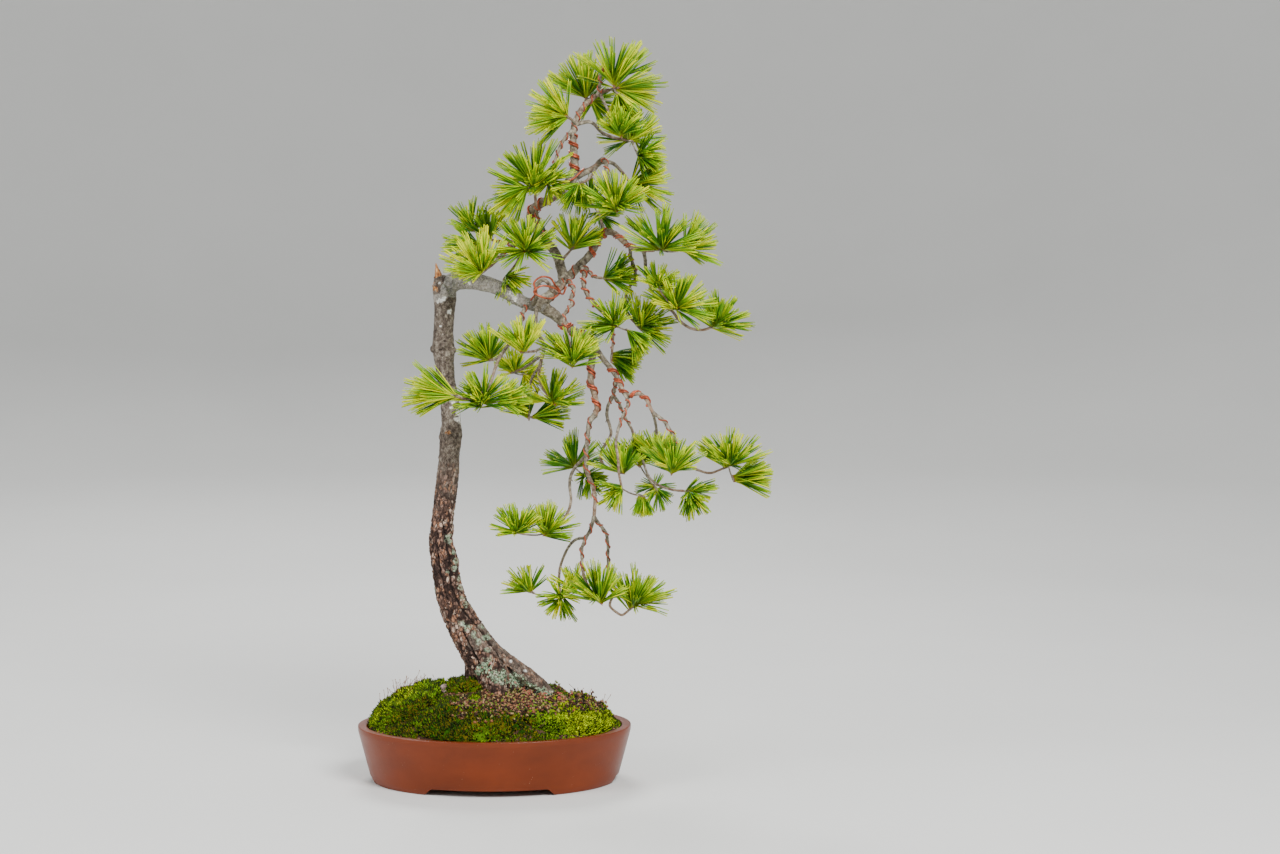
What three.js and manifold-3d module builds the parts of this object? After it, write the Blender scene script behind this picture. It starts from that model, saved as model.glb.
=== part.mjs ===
// Weeping white pine bonsai in an oval clay pot. Millimetres, Z up, the viewer's side towards minus Y.
import * as THREE from "three";
import { mergeVertices } from "three/addons/utils/BufferGeometryUtils.js";
import Module from "manifold-3d";

const wasm = await Module();
wasm.setup();

// Driving dimensions
const SEAT_GAP = 0.3;
const POT_WIDTH = 300;
const POT_DEPTH = 228;
const POT_HEIGHT = 61;
const POT_SEGMENTS = 32;
const POT_FLOOR = { under: 8, top: 14 };
const FOOT_NOTCH = { height: 7.5, bottomWidth: 139, topWidth: 125, endWidth: 56, endTopWidth: 46 };
const DRAIN = { offset: 58, hole: 22, sides: 10, plate: 34, thick: 1, cell: 11, bar: 3 };
const SOIL_EDGE = 56;
const SOIL_PEAK = 103;
const WIRE_RADIUS = 1.1;
const SHOOT_RADIUS = 0.9;
const NEEDLE_MIDDLE = 0.5;
const NEEDLE_TIP = 0.05;
const NEEDLE_CLEARANCE = 0.35;
const REARMOST = -0.45;

// The branch routes are traced by hand over the photograph: pixels across and down, then a depth in
// millimetres that is chosen, because one picture doesn't show it. Minus is towards the viewer.
const VIEW = {
  middleAcross: 640,
  middleDown: 427,
  focalPixels: 2290,
  distance: 2500,
  right: 160,
  height: 525.3,
  tilt: THREE.MathUtils.degToRad(3.15),
};
const DEPTH_SPREAD = 1.5;

// Pixels across and down, depth, and the radius in millimetres
const TRUNK = [
  [503, 700, 0, 26], [496, 680, 0, 25], [488, 665, 0, 22], [479, 650, 0, 20.5], [470, 636, 0, 19],
  [460, 619, 0, 17.5], [452, 600, 0, 15.5], [447, 580, 0, 14.6], [444.5, 560, 0, 14.8],
  [441, 543, 0, 13], [442, 528, 0, 12.4], [443.5, 512, 0, 11.8], [445.5, 495, 0, 12.2],
  [448, 475, 0, 12.2], [449.5, 455, 0, 11.0], [451, 436, 0, 12.4], [451, 420, 0, 10.4],
  [449.5, 400, 0, 10.2], [446, 380, 0, 9.9], [444.5, 365, 0, 10], [443.5, 348, 0, 12.6],
  [443.5, 332, 0, 10.8], [444.5, 312, 0, 11.2], [445, 297, 0, 12.8], [443, 286, 0, 12],
  [440, 279, 0, 8],
];

// Radii in millimetres at both ends of each root and limb
const ROOTS = {
  right: {
    radii: [14, 6],
    through: [[475, 638, -1], [496, 656, -4], [515, 668, -6], [535, 681, -7], [552, 696, -6]],
  },
  front: { radii: [15, 9], through: [[482, 648, -1], [492, 668, -10], [500, 698, -20]] },
  left: { radii: [15, 8], through: [[480, 648, 1], [471, 670, 1], [461, 696, 2]] },
  back: { radii: [15, 9], through: [[484, 650, 1], [499, 672, 12], [512, 698, 21]] },
};

const LIMBS = {
  stub: {
    radii: [5.5, 2.6],
    through: [[438, 284, 0], [437.5, 274, 0], [436.5, 264, 0]],
  },
  arm: {
    radii: [11, 5.8],
    through: [[444, 298, 0], [449, 286, -1], [457, 281, -2], [467, 280.5, -3], [481, 282.5, -5],
      [497, 287.5, -7], [511, 295, -8], [524, 302.5, -8], [537, 306, -6], [547, 309, -4]],
  },
  bough: {
    radii: [6, 2.1],
    through: [[536, 306, -6], [547, 298, -2], [556, 289, 2], [564, 281, 5], [572, 273, 7],
      [580, 265, 7], [588, 257, 6], [593, 250, 5], [597, 242, 3], [602, 235, 0], [608, 232, -4],
      [615, 234, -9], [623, 241, -15], [631, 247, -21], [643, 250, -28], [654, 250, -34]],
  },
  leader: {
    radii: [5.2, 4.8],
    through: [[565, 280, 5], [561, 268, 12], [558, 258, 16], [553, 249, 18], [546, 241, 18],
      [538, 232, 16], [532, 222, 12], [531, 213, 8], [537, 206, 5], [548, 200, 3], [559, 192, 2],
      [567, 184, 1], [573, 177, 0]],
  },
  crown_arm: {
    radii: [4.2, 2.8],
    through: [[571, 179, 0], [583, 173, 0], [592, 169, 1], [599, 163, 2]],
  },
  top: {
    radii: [4.8, 1.9],
    through: [[571, 181, 0], [574, 170, -1], [574, 155, -2], [573, 140, -2], [574, 127, -1],
      [577, 117, 1], [583, 107, 4], [592, 99, 6], [602, 92, 5], [609, 90, 3]],
  },
  crown_loop: {
    radii: [1.8, 1.3],
    through: [[598, 95, 3], [600, 84, -4], [601, 74, -8], [605, 67.5, -8], [610, 71, -6], [612, 78, -6]],
  },
  top_left: {
    radii: [2.0, 1.4],
    through: [[572, 131, -2], [565, 138, -6], [560, 147, -9], [556, 158, -10], [552, 170, -11],
      [550, 177, -13]],
  },
  top_front: {
    radii: [1.9, 1.5],
    through: [[575, 125, 0], [572, 120, -14], [569, 118, -24]],
  },
  top_back: {
    radii: [1.8, 1.4],
    through: [[584, 106, 4], [585, 102, 12], [586, 99, 20]],
  },
  top_right: {
    radii: [2.2, 1.4],
    through: [[576, 124, 0], [583, 122.5, 2], [590, 122, 5], [595, 125, 8], [601, 132, 12],
      [612, 137, 18], [626, 140, 24]],
  },
  top_drop: {
    radii: [1.7, 1.3],
    through: [[600, 94, 5], [605, 104, -8], [609, 113, -16], [611, 123, -20], [616, 130, -22]],
  },
  crown_front: {
    radii: [2.6, 1.5],
    through: [[598, 164, 2], [603, 159, -3], [606, 164, -8], [607, 175, -12], [610, 190, -20],
      [614, 203, -28]],
  },
  crown_right: {
    radii: [2.4, 1.5],
    through: [[599, 162, 2], [612, 163, 8], [622, 172, 16], [629, 181, 20]],
  },
  crown_drop: {
    radii: [1.9, 1.4],
    through: [[596, 167, 1], [592, 175, -10], [586, 181, -16], [583, 182, -20]],
  },
  nest: {
    radii: [1.9, 1.4],
    through: [[604, 233, -2], [602, 225, 8], [600, 217, 14]],
  },
  white_twig: {
    radii: [2.0, 1.5],
    through: [[548, 243, 18], [544, 230, 8], [538, 218, -4], [536, 205, -12], [535, 193, -16]],
  },
  left_bough: {
    radii: [3.2, 1.6],
    through: [[534, 226, 14], [524, 236, 8], [513, 245, -2], [503, 254, -12], [494, 263, -20],
      [488, 268, -24]],
  },
  left_upper: {
    radii: [2.2, 1.5],
    through: [[515, 243, 0], [502, 243, 14], [492, 240, 22]],
  },
  star_twig: {
    radii: [2.0, 1.5],
    through: [[546, 241, 18], [538, 246, 2], [532, 249, -10], [529, 250, -15]],
  },
  arm_twig: {
    radii: [1.9, 1.4],
    through: [[521, 238, 6], [521, 252, 4], [516, 264, 0], [508, 274, -4]],
  },
  vee_twig: {
    radii: [1.9, 1.4],
    through: [[560, 266, 13], [564, 258, 0], [570, 251, -8]],
  },
  shelf_twig: {
    radii: [2.0, 1.4],
    through: [[582, 263, 7], [588, 271, -2], [595, 277, -9], [602, 278, -13]],
  },
  right_drop: {
    radii: [2.6, 1.6],
    through: [[580, 265, 7], [584, 273, -6], [583, 283, -12], [587, 294, -15], [593, 303, -18],
      [602, 312, -21], [610, 320, -22]],
  },
  right_low: {
    radii: [1.5, 1.3],
    through: [[609, 319, -22], [613, 329, -16], [613, 341, -12], [612, 352, -12]],
  },
  right_shelf: {
    radii: [1.9, 1.4],
    through: [[630, 246.5, -20], [631, 258, -12], [635, 270, -6], [635, 279, -4], [628, 289, -2],
      [625, 300, 0], [626, 312, 0], [634, 322, -2]],
  },
  right_out: {
    radii: [2.0, 1.4],
    through: [[643, 250, -28], [645, 258, -20], [646, 270, -10], [650, 285, -4], [656, 298, -2],
      [664, 307, -2], [672, 311, -2], [679, 320, -2], [690, 328, -2], [702, 330, -2], [710, 328, -2]],
  },
  right_mid: {
    radii: [1.5, 1.4],
    through: [[664, 307, -2], [669, 309, -12], [673, 309, -18]],
  },
  low_bough: {
    radii: [5.4, 2.8],
    through: [[545, 308, -4], [556, 316, -2], [566, 326, 0], [577, 333, 2], [588, 337, 3],
      [593, 345, 2], [592, 358, 0], [591, 372, -1], [591, 383, -1], [595, 396, -2], [597, 408, -3],
      [595, 416, -3]],
  },
  low_fall: {
    radii: [2.7, 1.9],
    through: [[595, 415, -3], [590, 421, -3], [588, 431, -3], [587, 443, -3], [586, 458, -2],
      [587, 472, -2], [592, 484, -2], [595, 498, -3], [594.5, 510, -3], [594, 519, -3]],
  },
  tail_mid: {
    radii: [1.9, 1.5],
    through: [[594, 517, -3], [591, 528, -5], [586, 538, -8], [582, 548, -10], [582, 560, -11],
      [583, 572, -12], [588, 586, -15], [596, 597, -18]],
  },
  tail_right: {
    radii: [1.8, 1.4],
    through: [[594, 517, -3], [600, 525, 3], [606, 533, 8], [608, 545, 12], [608, 558, 14],
      [609, 570, 14], [613, 583, 12], [615, 592, 8], [611, 600, 4], [610, 606, 1], [616, 612, 0],
      [622, 615, 0], [628, 611, 0]],
  },
  tail_left: {
    radii: [1.7, 1.4],
    through: [[586, 538, -8], [577, 539, 0], [570, 545, 8], [564, 556, 14], [560, 568, 16],
      [559, 582, 12], [560, 592, 6]],
  },
  hang_left: {
    radii: [1.9, 1.4],
    through: [[586, 456, -2], [580, 462, 10], [574, 469, 16], [570, 479, 14], [570, 490, 10],
      [571, 500, 6], [568, 512, 2], [560, 523, -2], [551, 530, -5]],
  },
  hang_top: {
    radii: [1.6, 1.4],
    through: [[581, 461, 8], [578, 464, 16], [576, 466, 22]],
  },
  fall: {
    radii: [3.3, 1.8],
    through: [[593, 344, 2], [598, 352, -3], [604, 360, -8], [611, 369, -12], [617, 378, -16],
      [621, 387, -19], [625, 394, -22], [632, 394.5, -24], [640, 394, -26], [646, 399, -28],
      [650, 407, -30], [654, 415, -32]],
  },
  fall_out: {
    radii: [1.8, 1.3],
    through: [[653, 413, -32], [663, 420, -32], [670, 430, -32], [676, 441, -32], [680, 453, -30],
      [686, 463, -28], [698, 470, -26], [710, 473, -24], [722, 469, -22]],
  },
  fall_inner: {
    radii: [1.6, 1.3],
    through: [[653, 413, -32], [656, 426, -20], [657, 440, -10], [657, 456, -4]],
  },
  fall_front: {
    radii: [1.5, 1.3],
    through: [[678, 449, -31], [677, 460, -40], [674, 468, -46]],
  },
  fall_left: {
    radii: [2.1, 1.4],
    through: [[617, 378, -16], [615, 387, -8], [613, 396, -2], [608, 406, 4], [607, 416, 8],
      [610, 427, 8], [611, 434, 6], [607, 442, 4], [602, 450, 4], [601, 460, 4], [607, 468, 2],
      [615, 471, 0]],
  },
  fall_mid: {
    radii: [1.7, 1.4],
    through: [[613, 396, -2], [618, 401, 8], [622, 410, 16], [626, 419, 20], [632, 430, 22],
      [636, 445, 20], [638, 458, 16]],
  },
  fall_low: {
    radii: [1.4, 1.3],
    through: [[634, 437, 21], [640, 449, 10], [644, 464, 2], [648, 475, -2], [655, 483, -6],
      [663, 487, -12], [674, 490, -20], [684, 491, -26]],
  },
  fall_back: {
    radii: [1.8, 1.3],
    through: [[625, 394, -22], [628, 402, -30], [626, 410, -36], [622, 418, -40], [618, 430, -44],
      [616, 443, -46], [618, 458, -44], [619, 474, -40], [621, 484, -38]],
  },
  inner_left: {
    radii: [2.2, 1.5],
    through: [[528, 304, -8], [523, 312, -18], [521, 323, -22], [518, 332, -24], [511, 342, -28],
      [504, 351, -31], [498, 361, -36], [494, 372, -42], [490, 385, -48], [485, 397, -52]],
  },
  inner_left_back: {
    radii: [1.6, 1.4],
    through: [[501, 356, -33], [496, 359, -20], [491, 360, -10]],
  },
  inner_left_far: {
    radii: [1.6, 1.4],
    through: [[490, 384, -48], [478, 396, -58], [466, 399, -64], [458, 397, -68]],
  },
  inner_right: {
    radii: [2.3, 1.5],
    through: [[537, 306, -6], [536, 316, -18], [536, 327, -20], [540, 337, -18], [544, 345, -14],
      [543, 354, -10], [540, 366, -4], [539, 378, 0], [543, 388, 2], [549, 397, 2]],
  },
  inner_right_front: {
    radii: [1.6, 1.4],
    through: [[544, 347, -13], [535, 351, -24], [527, 352, -32]],
  },
  inner_right_back: {
    radii: [1.6, 1.4],
    through: [[543, 354, -10], [534, 361, 6], [524, 368, 18], [517, 371, 24]],
  },
  inner_right_low: {
    radii: [1.6, 1.4],
    through: [[540, 366, -4], [533, 376, 8], [529, 390, 16], [529, 404, 18], [529, 412, 18]],
  },
  wired_twig: {
    radii: [2.2, 1.5],
    through: [[569, 277, 6], [570, 284, -8], [574, 290, -14], [571, 298, -17], [572, 304, -20],
      [567, 310, -23], [564, 317, -26], [566, 332, -30], [570, 346, -33], [571, 355, -34]],
  },
  pigtail: {
    radii: [2.4, 1.8],
    through: [[533, 305, -8], [536, 297, -20], [536, 286, -24], [543, 280, -25], [549, 284, -24],
      [552, 291, -22], [558, 291, -14], [564, 284, 0]],
  },
};

// The first tuft of a spray sits on the limb of that name, and the others hang off it by a shoot.
// Aim is right, away and up; reach is the needles' length in millimetres, and spread is in degrees.
const SPRAYS = {
  crown_loop: [
    { aim: [0.15, -0.1, 1], reach: 54, spread: 52, size: "m" },
  ],
  top: [
    { aim: [0.75, 0.5, 0.05], reach: 56, spread: 34, size: "m" },
    { at: [617, 93, -14], aim: [0.35, -0.35, -1], reach: 38, spread: 42, size: "s" },
  ],
  top_front: [
    { aim: [-1, -0.3, 0.2], reach: 48, spread: 62, size: "l" },
  ],
  top_back: [
    { aim: [-0.35, 0.1, 1], reach: 52, spread: 58, size: "l" },
    { at: [592, 101, 28], aim: [0.5, 0.7, -0.25], reach: 36, spread: 60, size: "s" },
  ],
  top_left: [
    { aim: [0.05, -0.8, -0.1], reach: 32, spread: 80, size: "m" },
  ],
  top_right: [
    { aim: [-0.1, 0.3, 0.7], reach: 42, spread: 85, size: "l" },
    { at: [638, 155, 18], aim: [0.8, -0.3, -0.1], reach: 34, spread: 70, size: "m" },
  ],
  top_drop: [
    { aim: [0.1, -0.35, 1], reach: 34, spread: 65, size: "m" },
  ],
  crown_front: [
    { aim: [0, -0.5, 1], reach: 44, spread: 82, size: "l" },
  ],
  crown_right: [
    { aim: [1, 0.25, 0.1], reach: 46, spread: 62, size: "m" },
  ],
  crown_drop: [
    { aim: [-0.35, -0.35, -0.9], reach: 36, spread: 52, size: "s" },
  ],
  nest: [
    { aim: [0.35, 0.35, -0.1], reach: 28, spread: 75, size: "s" },
    { at: [592, 203, 20], aim: [-0.4, 0.5, 0.8], reach: 30, spread: 65, size: "s" },
  ],
  white_twig: [
    { aim: [-0.45, -0.3, 0.9], reach: 52, spread: 75, size: "l" },
    { at: [526, 188, -24], aim: [-0.85, -0.3, -0.55], reach: 46, spread: 48, size: "s" },
  ],
  left_bough: [
    { aim: [-0.5, -0.5, 0.6], reach: 46, spread: 80, size: "l" },
  ],
  left_upper: [
    { aim: [-0.1, 0.1, 1], reach: 36, spread: 45, size: "s" },
    { at: [481, 246, 14], aim: [-1, 0.1, 0.05], reach: 44, spread: 42, size: "s" },
    { at: [473, 230, 34], aim: [-0.35, 0.3, 1], reach: 36, spread: 65, size: "s" },
  ],
  star_twig: [
    { aim: [0, -0.55, 0.6], reach: 44, spread: 85, size: "l" },
  ],
  arm_twig: [
    { aim: [0.55, -0.2, -0.5], reach: 32, spread: 75, size: "s" },
  ],
  vee_twig: [
    { aim: [0.35, -0.2, 1], reach: 42, spread: 55, size: "m" },
  ],
  shelf_twig: [
    { aim: [1, -0.2, 0.25], reach: 36, spread: 50, size: "m" },
  ],
  right_drop: [
    { aim: [-0.55, -0.35, 0.7], reach: 38, spread: 80, size: "m" },
    { at: [630, 331, -26], aim: [0.65, -0.35, -0.75], reach: 34, spread: 40, size: "s" },
  ],
  right_low: [
    { aim: [1, -0.1, -0.3], reach: 36, spread: 42, size: "m" },
  ],
  right_shelf: [
    { aim: [0.55, -0.1, 0.5], reach: 42, spread: 80, size: "l" },
  ],
  bough: [
    { aim: [0.1, -0.35, 1], reach: 50, spread: 78, size: "l" },
    { at: [682, 250, -22], aim: [0.85, 0.2, 0.45], reach: 44, spread: 55, size: "m" },
  ],
  right_mid: [
    { aim: [0.4, -0.4, 0.85], reach: 46, spread: 80, size: "l" },
    { at: [657, 286, -30], aim: [0, -0.35, 1], reach: 28, spread: 75, size: "s" },
  ],
  right_out: [
    { aim: [0.4, -0.15, 0.9], reach: 40, spread: 78, size: "l" },
  ],
  inner_left: [
    { aim: [-0.05, -0.35, 0.9], reach: 40, spread: 84, size: "l" },
    { at: [499, 401, -44], aim: [0.8, 0.2, 0.35], reach: 34, spread: 48, size: "s" },
  ],
  inner_left_back: [
    { aim: [-0.4, 0.3, 1], reach: 42, spread: 65, size: "l" },
  ],
  inner_left_far: [
    { aim: [-1, -0.25, 0.2], reach: 50, spread: 58, size: "l" },
  ],
  inner_right: [
    { aim: [0.2, -0.1, 0.8], reach: 40, spread: 86, size: "m" },
  ],
  inner_right_front: [
    { aim: [-0.05, -0.3, 1], reach: 42, spread: 52, size: "m" },
  ],
  inner_right_back: [
    { aim: [0, 0.3, 1], reach: 28, spread: 72, size: "m" },
    { at: [526, 375, 27], aim: [0.6, 0.1, -0.3], reach: 26, spread: 75, size: "s" },
  ],
  inner_right_low: [
    { aim: [-0.6, 0.2, 0.8], reach: 40, spread: 42, size: "s" },
    { at: [534, 418, 20], aim: [0.95, 0.25, 0.3], reach: 42, spread: 36, size: "s" },
  ],
  wired_twig: [
    { aim: [0, -0.3, 1], reach: 42, spread: 70, size: "l" },
  ],
  hang_top: [
    { aim: [-0.25, 0.35, 1], reach: 42, spread: 75, size: "m" },
    { at: [586, 476, 27], aim: [0.6, -0.7, -0.4], reach: 28, spread: 75, size: "s" },
  ],
  hang_left: [
    { aim: [0.35, -0.2, 1], reach: 36, spread: 65, size: "m" },
    { at: [517, 533, -16], aim: [-0.05, -0.3, 1], reach: 36, spread: 78, size: "m" },
  ],
  fall_left: [
    { aim: [-0.15, -0.2, 1], reach: 38, spread: 58, size: "m" },
  ],
  fall_back: [
    { aim: [-0.75, -0.4, -0.35], reach: 30, spread: 62, size: "s" },
    { at: [642, 496, -30], aim: [0.15, -0.1, -1], reach: 22, spread: 28, size: "s" },
  ],
  fall_mid: [
    { aim: [0.15, 0.1, 1], reach: 40, spread: 60, size: "m" },
    { at: [656, 488, 16], aim: [-0.1, 0.8, -0.5], reach: 26, spread: 75, size: "s" },
  ],
  fall_low: [
    { aim: [0.5, -0.35, -0.5], reach: 34, spread: 75, size: "m" },
  ],
  fall_inner: [
    { aim: [0, 0.4, 1], reach: 36, spread: 55, size: "m" },
  ],
  fall_front: [
    { aim: [-0.05, -0.3, 1], reach: 42, spread: 62, size: "m" },
  ],
  fall_out: [
    { aim: [0, -0.2, 1], reach: 46, spread: 74, size: "l" },
    { at: [733, 479, -12], aim: [1, 0.1, 0.2], reach: 44, spread: 36, size: "m" },
  ],
  tail_left: [
    { aim: [0.05, -0.9, 0.1], reach: 30, spread: 84, size: "m" },
    { at: [530, 592, 16], aim: [-0.5, 0.1, 0.85], reach: 34, spread: 62, size: "s" },
    { at: [574, 590, 10], aim: [-0.1, 0.5, 1], reach: 30, spread: 70, size: "s" },
  ],
  tail_mid: [
    { aim: [-0.1, -0.35, 1], reach: 46, spread: 60, size: "m" },
  ],
  tail_right: [
    { aim: [0.35, -0.2, 0.9], reach: 46, spread: 68, size: "l" },
  ],
};

// A tuft's core is a stretched octahedron ball, and its needles are raised from the faces.
const CORES = {
  s: { detail: 1, radius: 1.7, half: 5, needles: 22 },
  m: { detail: 1, radius: 1.9, half: 6, needles: 27 },
  l: { detail: 2, radius: 2.3, half: 7.5, needles: 44 },
};

// Each wire winds around one limb: where it starts and stops along it, and the rise of a turn.
const WIRES = {
  wire_bough: { limb: "bough", from: 0.44, to: 0.62, rise: 11 },
  wire_leader: { limb: "leader", from: 0.56, to: 0.93, rise: 10 },
  wire_top: { limb: "top", from: 0.1, to: 0.42, rise: 9 },
  wire_low_bough: { limb: "low_bough", from: 0.16, to: 0.42, rise: 12 },
  wire_low_fall: { limb: "low_bough", from: 0.6, to: 0.97, rise: 13 },
  wire_fall: { limb: "fall", from: 0.3, to: 0.9, rise: 11 },
  wire_right_drop: { limb: "right_drop", from: 0.15, to: 0.8, rise: 10 },
};

// Each cushion covers a stretch of the rim: its middle and half width in degrees around the pot, and
// how far in and out it lies as a share of the soil's half width
const MOSS = {
  moss_left: { middle: 176, half: 46, inner: 0.42, outer: 0.985, height: 14 },
  moss_front: { middle: 256, half: 31, inner: 0.62, outer: 0.985, height: 10 },
  moss_right: { middle: 330, half: 40, inner: 0.58, outer: 0.98, height: 11 },
  moss_back: { middle: 84, half: 43, inner: 0.56, outer: 0.98, height: 11 },
};

const COLOURS = {
  clay: new THREE.MeshStandardMaterial({ color: 0x8a4630, roughness: 0.45, metalness: 0 }),
  bark: new THREE.MeshStandardMaterial({ color: 0x7d6a5c, roughness: 0.9, metalness: 0 }),
  needles: new THREE.MeshStandardMaterial({ color: 0x86b82c, roughness: 0.6, metalness: 0 }),
  copper: new THREE.MeshStandardMaterial({ color: 0xb45f2a, roughness: 0.4, metalness: 0.9 }),
  soil: new THREE.MeshStandardMaterial({ color: 0x5a4030, roughness: 1, metalness: 0 }),
  moss: new THREE.MeshStandardMaterial({ color: 0x7ea52a, roughness: 1, metalness: 0 }),
  net: new THREE.MeshStandardMaterial({ color: 0x22302a, roughness: 0.7, metalness: 0 }),
};

const bonsai = new THREE.Group();
const standing = new THREE.Group();
standing.add(bonsai);

// A repeatable row of random numbers from 0 to 1
let seed = 20260;
function random() {
  seed = (seed + 0x6d2b79f5) | 0;
  let mixed = Math.imul(seed ^ (seed >>> 15), 1 | seed);
  mixed = (mixed + Math.imul(mixed ^ (mixed >>> 7), 61 | mixed)) ^ mixed;
  return ((mixed ^ (mixed >>> 14)) >>> 0) / 4294967296;
}

function between(low, high) {
  return low + (high - low) * random();
}

function placed([across, down, depth]) {
  const away = depth * DEPTH_SPREAD;
  const right = (across - VIEW.middleAcross) / VIEW.focalPixels;
  const up = (VIEW.middleDown - down) / VIEW.focalPixels;
  const reach = (away + VIEW.distance) / (Math.cos(VIEW.tilt) + up * Math.sin(VIEW.tilt));
  const rise = reach * (up * Math.cos(VIEW.tilt) - Math.sin(VIEW.tilt));
  return new THREE.Vector3(VIEW.right + reach * right, away, VIEW.height + rise);
}

function solidOf(geometry) {
  geometry.deleteAttribute("normal");
  geometry.deleteAttribute("uv");
  const merged = mergeVertices(geometry, 1e-4);
  const mesh = new wasm.Mesh({
    numProp: 3,
    vertProperties: new Float32Array(merged.attributes.position.array),
    triVerts: new Uint32Array(merged.index.array),
  });
  return new wasm.Manifold(mesh);
}

function addNode(name, solid, material) {
  const mesh = solid.getMesh();
  const geometry = new THREE.BufferGeometry();
  geometry.setAttribute("position", new THREE.BufferAttribute(new Float32Array(mesh.vertProperties), 3));
  geometry.setIndex(new THREE.BufferAttribute(new Uint32Array(mesh.triVerts), 1));
  geometry.computeVertexNormals();
  const node = new THREE.Mesh(geometry, material);
  node.name = name;
  bonsai.add(node);
}

// At each point of a rod: two directions across it, which turn as little as they can along it
function framesOf(points) {
  const last = points.length - 1;
  const frames = [];
  let normal = new THREE.Vector3(0.3, 1, 0.2);
  points.forEach((_, i) => {
    const ahead = points[Math.min(i + 1, last)];
    const behind = points[Math.max(i - 1, 0)];
    const tangent = new THREE.Vector3().subVectors(ahead, behind).normalize();
    normal = normal.clone().projectOnPlane(tangent).normalize();
    frames.push({ normal, across: new THREE.Vector3().crossVectors(normal, tangent) });
  });
  return frames;
}

// A round rod through points, with a radius at each of them
function rod(points, radii, sides) {
  const last = points.length - 1;
  const geometry = new THREE.CylinderGeometry(1, 1, last, sides, last);
  const frames = framesOf(points);
  const position = geometry.attributes.position;
  for (let i = 0; i < position.count; i += 1) {
    const ring = Math.round(position.getY(i) + last / 2);
    const point = points[ring].clone();
    point.addScaledVector(frames[ring].normal, position.getX(i) * radii[ring]);
    point.addScaledVector(frames[ring].across, position.getZ(i) * radii[ring]);
    position.setXYZ(i, point.x, point.y, point.z);
  }
  return solidOf(geometry);
}

// A limb's smooth route cut into straight pieces, with the radius at each cut
function sampled(route, radii, pieces) {
  const curve = new THREE.CatmullRomCurve3(route.map(placed), false, "centripetal");
  const points = [];
  const thickness = [];
  for (let i = 0; i <= pieces; i += 1) {
    const along = i / pieces;
    points.push(curve.getPointAt(along));
    const place = curve.getUtoTmapping(along) * (radii.length - 1);
    const before = Math.min(Math.floor(place), radii.length - 2);
    const start = radii.length === 2 ? along : place - before;
    thickness.push(THREE.MathUtils.lerp(radii[before], radii[before + 1], start));
  }
  return { points, radii: thickness };
}

// Straight pieces with a radius at both ends, for keeping things clear of each other
const pieces = [];
function strip(owner, a, b, ra, rb) {
  return { owner, a, b, ra, rb, middle: a.clone().lerp(b, 0.5), half: a.distanceTo(b) / 2 };
}

function keepClear(owner, points, radii) {
  for (let i = 1; i < points.length; i += 1) {
    pieces.push(strip(owner, points[i - 1], points[i], radii[i - 1], radii[i]));
  }
}

// The open space between two straight pieces, less their radii
function spaceBetween(p, q) {
  const d1 = new THREE.Vector3().subVectors(p.b, p.a);
  const d2 = new THREE.Vector3().subVectors(q.b, q.a);
  const r = new THREE.Vector3().subVectors(p.a, q.a);
  const a = d1.dot(d1);
  const e = d2.dot(d2);
  const f = d2.dot(r);
  const c = d1.dot(r);
  const b = d1.dot(d2);
  const spread = a * e - b * b;
  let s = spread > 1e-9 ? THREE.MathUtils.clamp((b * f - c * e) / spread, 0, 1) : 0;
  let t = (b * s + f) / e;
  if (t < 0) {
    t = 0;
    s = THREE.MathUtils.clamp(-c / a, 0, 1);
  } else if (t > 1) {
    t = 1;
    s = THREE.MathUtils.clamp((b - c) / a, 0, 1);
  }
  const near = p.a.clone().addScaledVector(d1, s);
  const far = q.a.clone().addScaledVector(d2, t);
  const radii = THREE.MathUtils.lerp(p.ra, p.rb, s) + THREE.MathUtils.lerp(q.ra, q.rb, t);
  return near.distanceTo(far) - radii;
}

function crowded(piece, gap, others) {
  return others.some((other) => {
    if (other.owner === piece.owner) {
      return false;
    }
    const reach = piece.half + other.half + Math.max(piece.ra, other.ra, other.rb) * 2 + gap;
    return piece.middle.distanceTo(other.middle) < reach && spaceBetween(piece, other) < gap;
  });
}

// Pot: a turned profile drawn out to an oval, with two drain holes and notches that leave four feet
const CUT_PAST = 20;
const NOTCH_CORNER = 2;
function ovalOf(profile) {
  const points = profile.map(([across, up]) => new THREE.Vector2(across, up));
  const turned = new THREE.LatheGeometry(points, POT_SEGMENTS);
  turned.rotateX(Math.PI / 2);
  turned.scale(1, POT_DEPTH / POT_WIDTH, 1);
  return solidOf(turned);
}

function notch(bottomWidth, topWidth, length) {
  const outline = new THREE.Shape();
  outline.moveTo(-bottomWidth / 2, -1);
  outline.lineTo(bottomWidth / 2, -1);
  outline.quadraticCurveTo(topWidth / 2 + NOTCH_CORNER, FOOT_NOTCH.height, topWidth / 2, FOOT_NOTCH.height);
  outline.lineTo(-topWidth / 2, FOOT_NOTCH.height);
  outline.quadraticCurveTo(-topWidth / 2 - NOTCH_CORNER, FOOT_NOTCH.height, -bottomWidth / 2, -1);
  const cut = new THREE.ExtrudeGeometry(outline, { depth: length, bevelEnabled: false, curveSegments: 2 });
  cut.translate(0, 0, -length / 2);
  cut.rotateX(Math.PI / 2);
  return cut;
}

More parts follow.
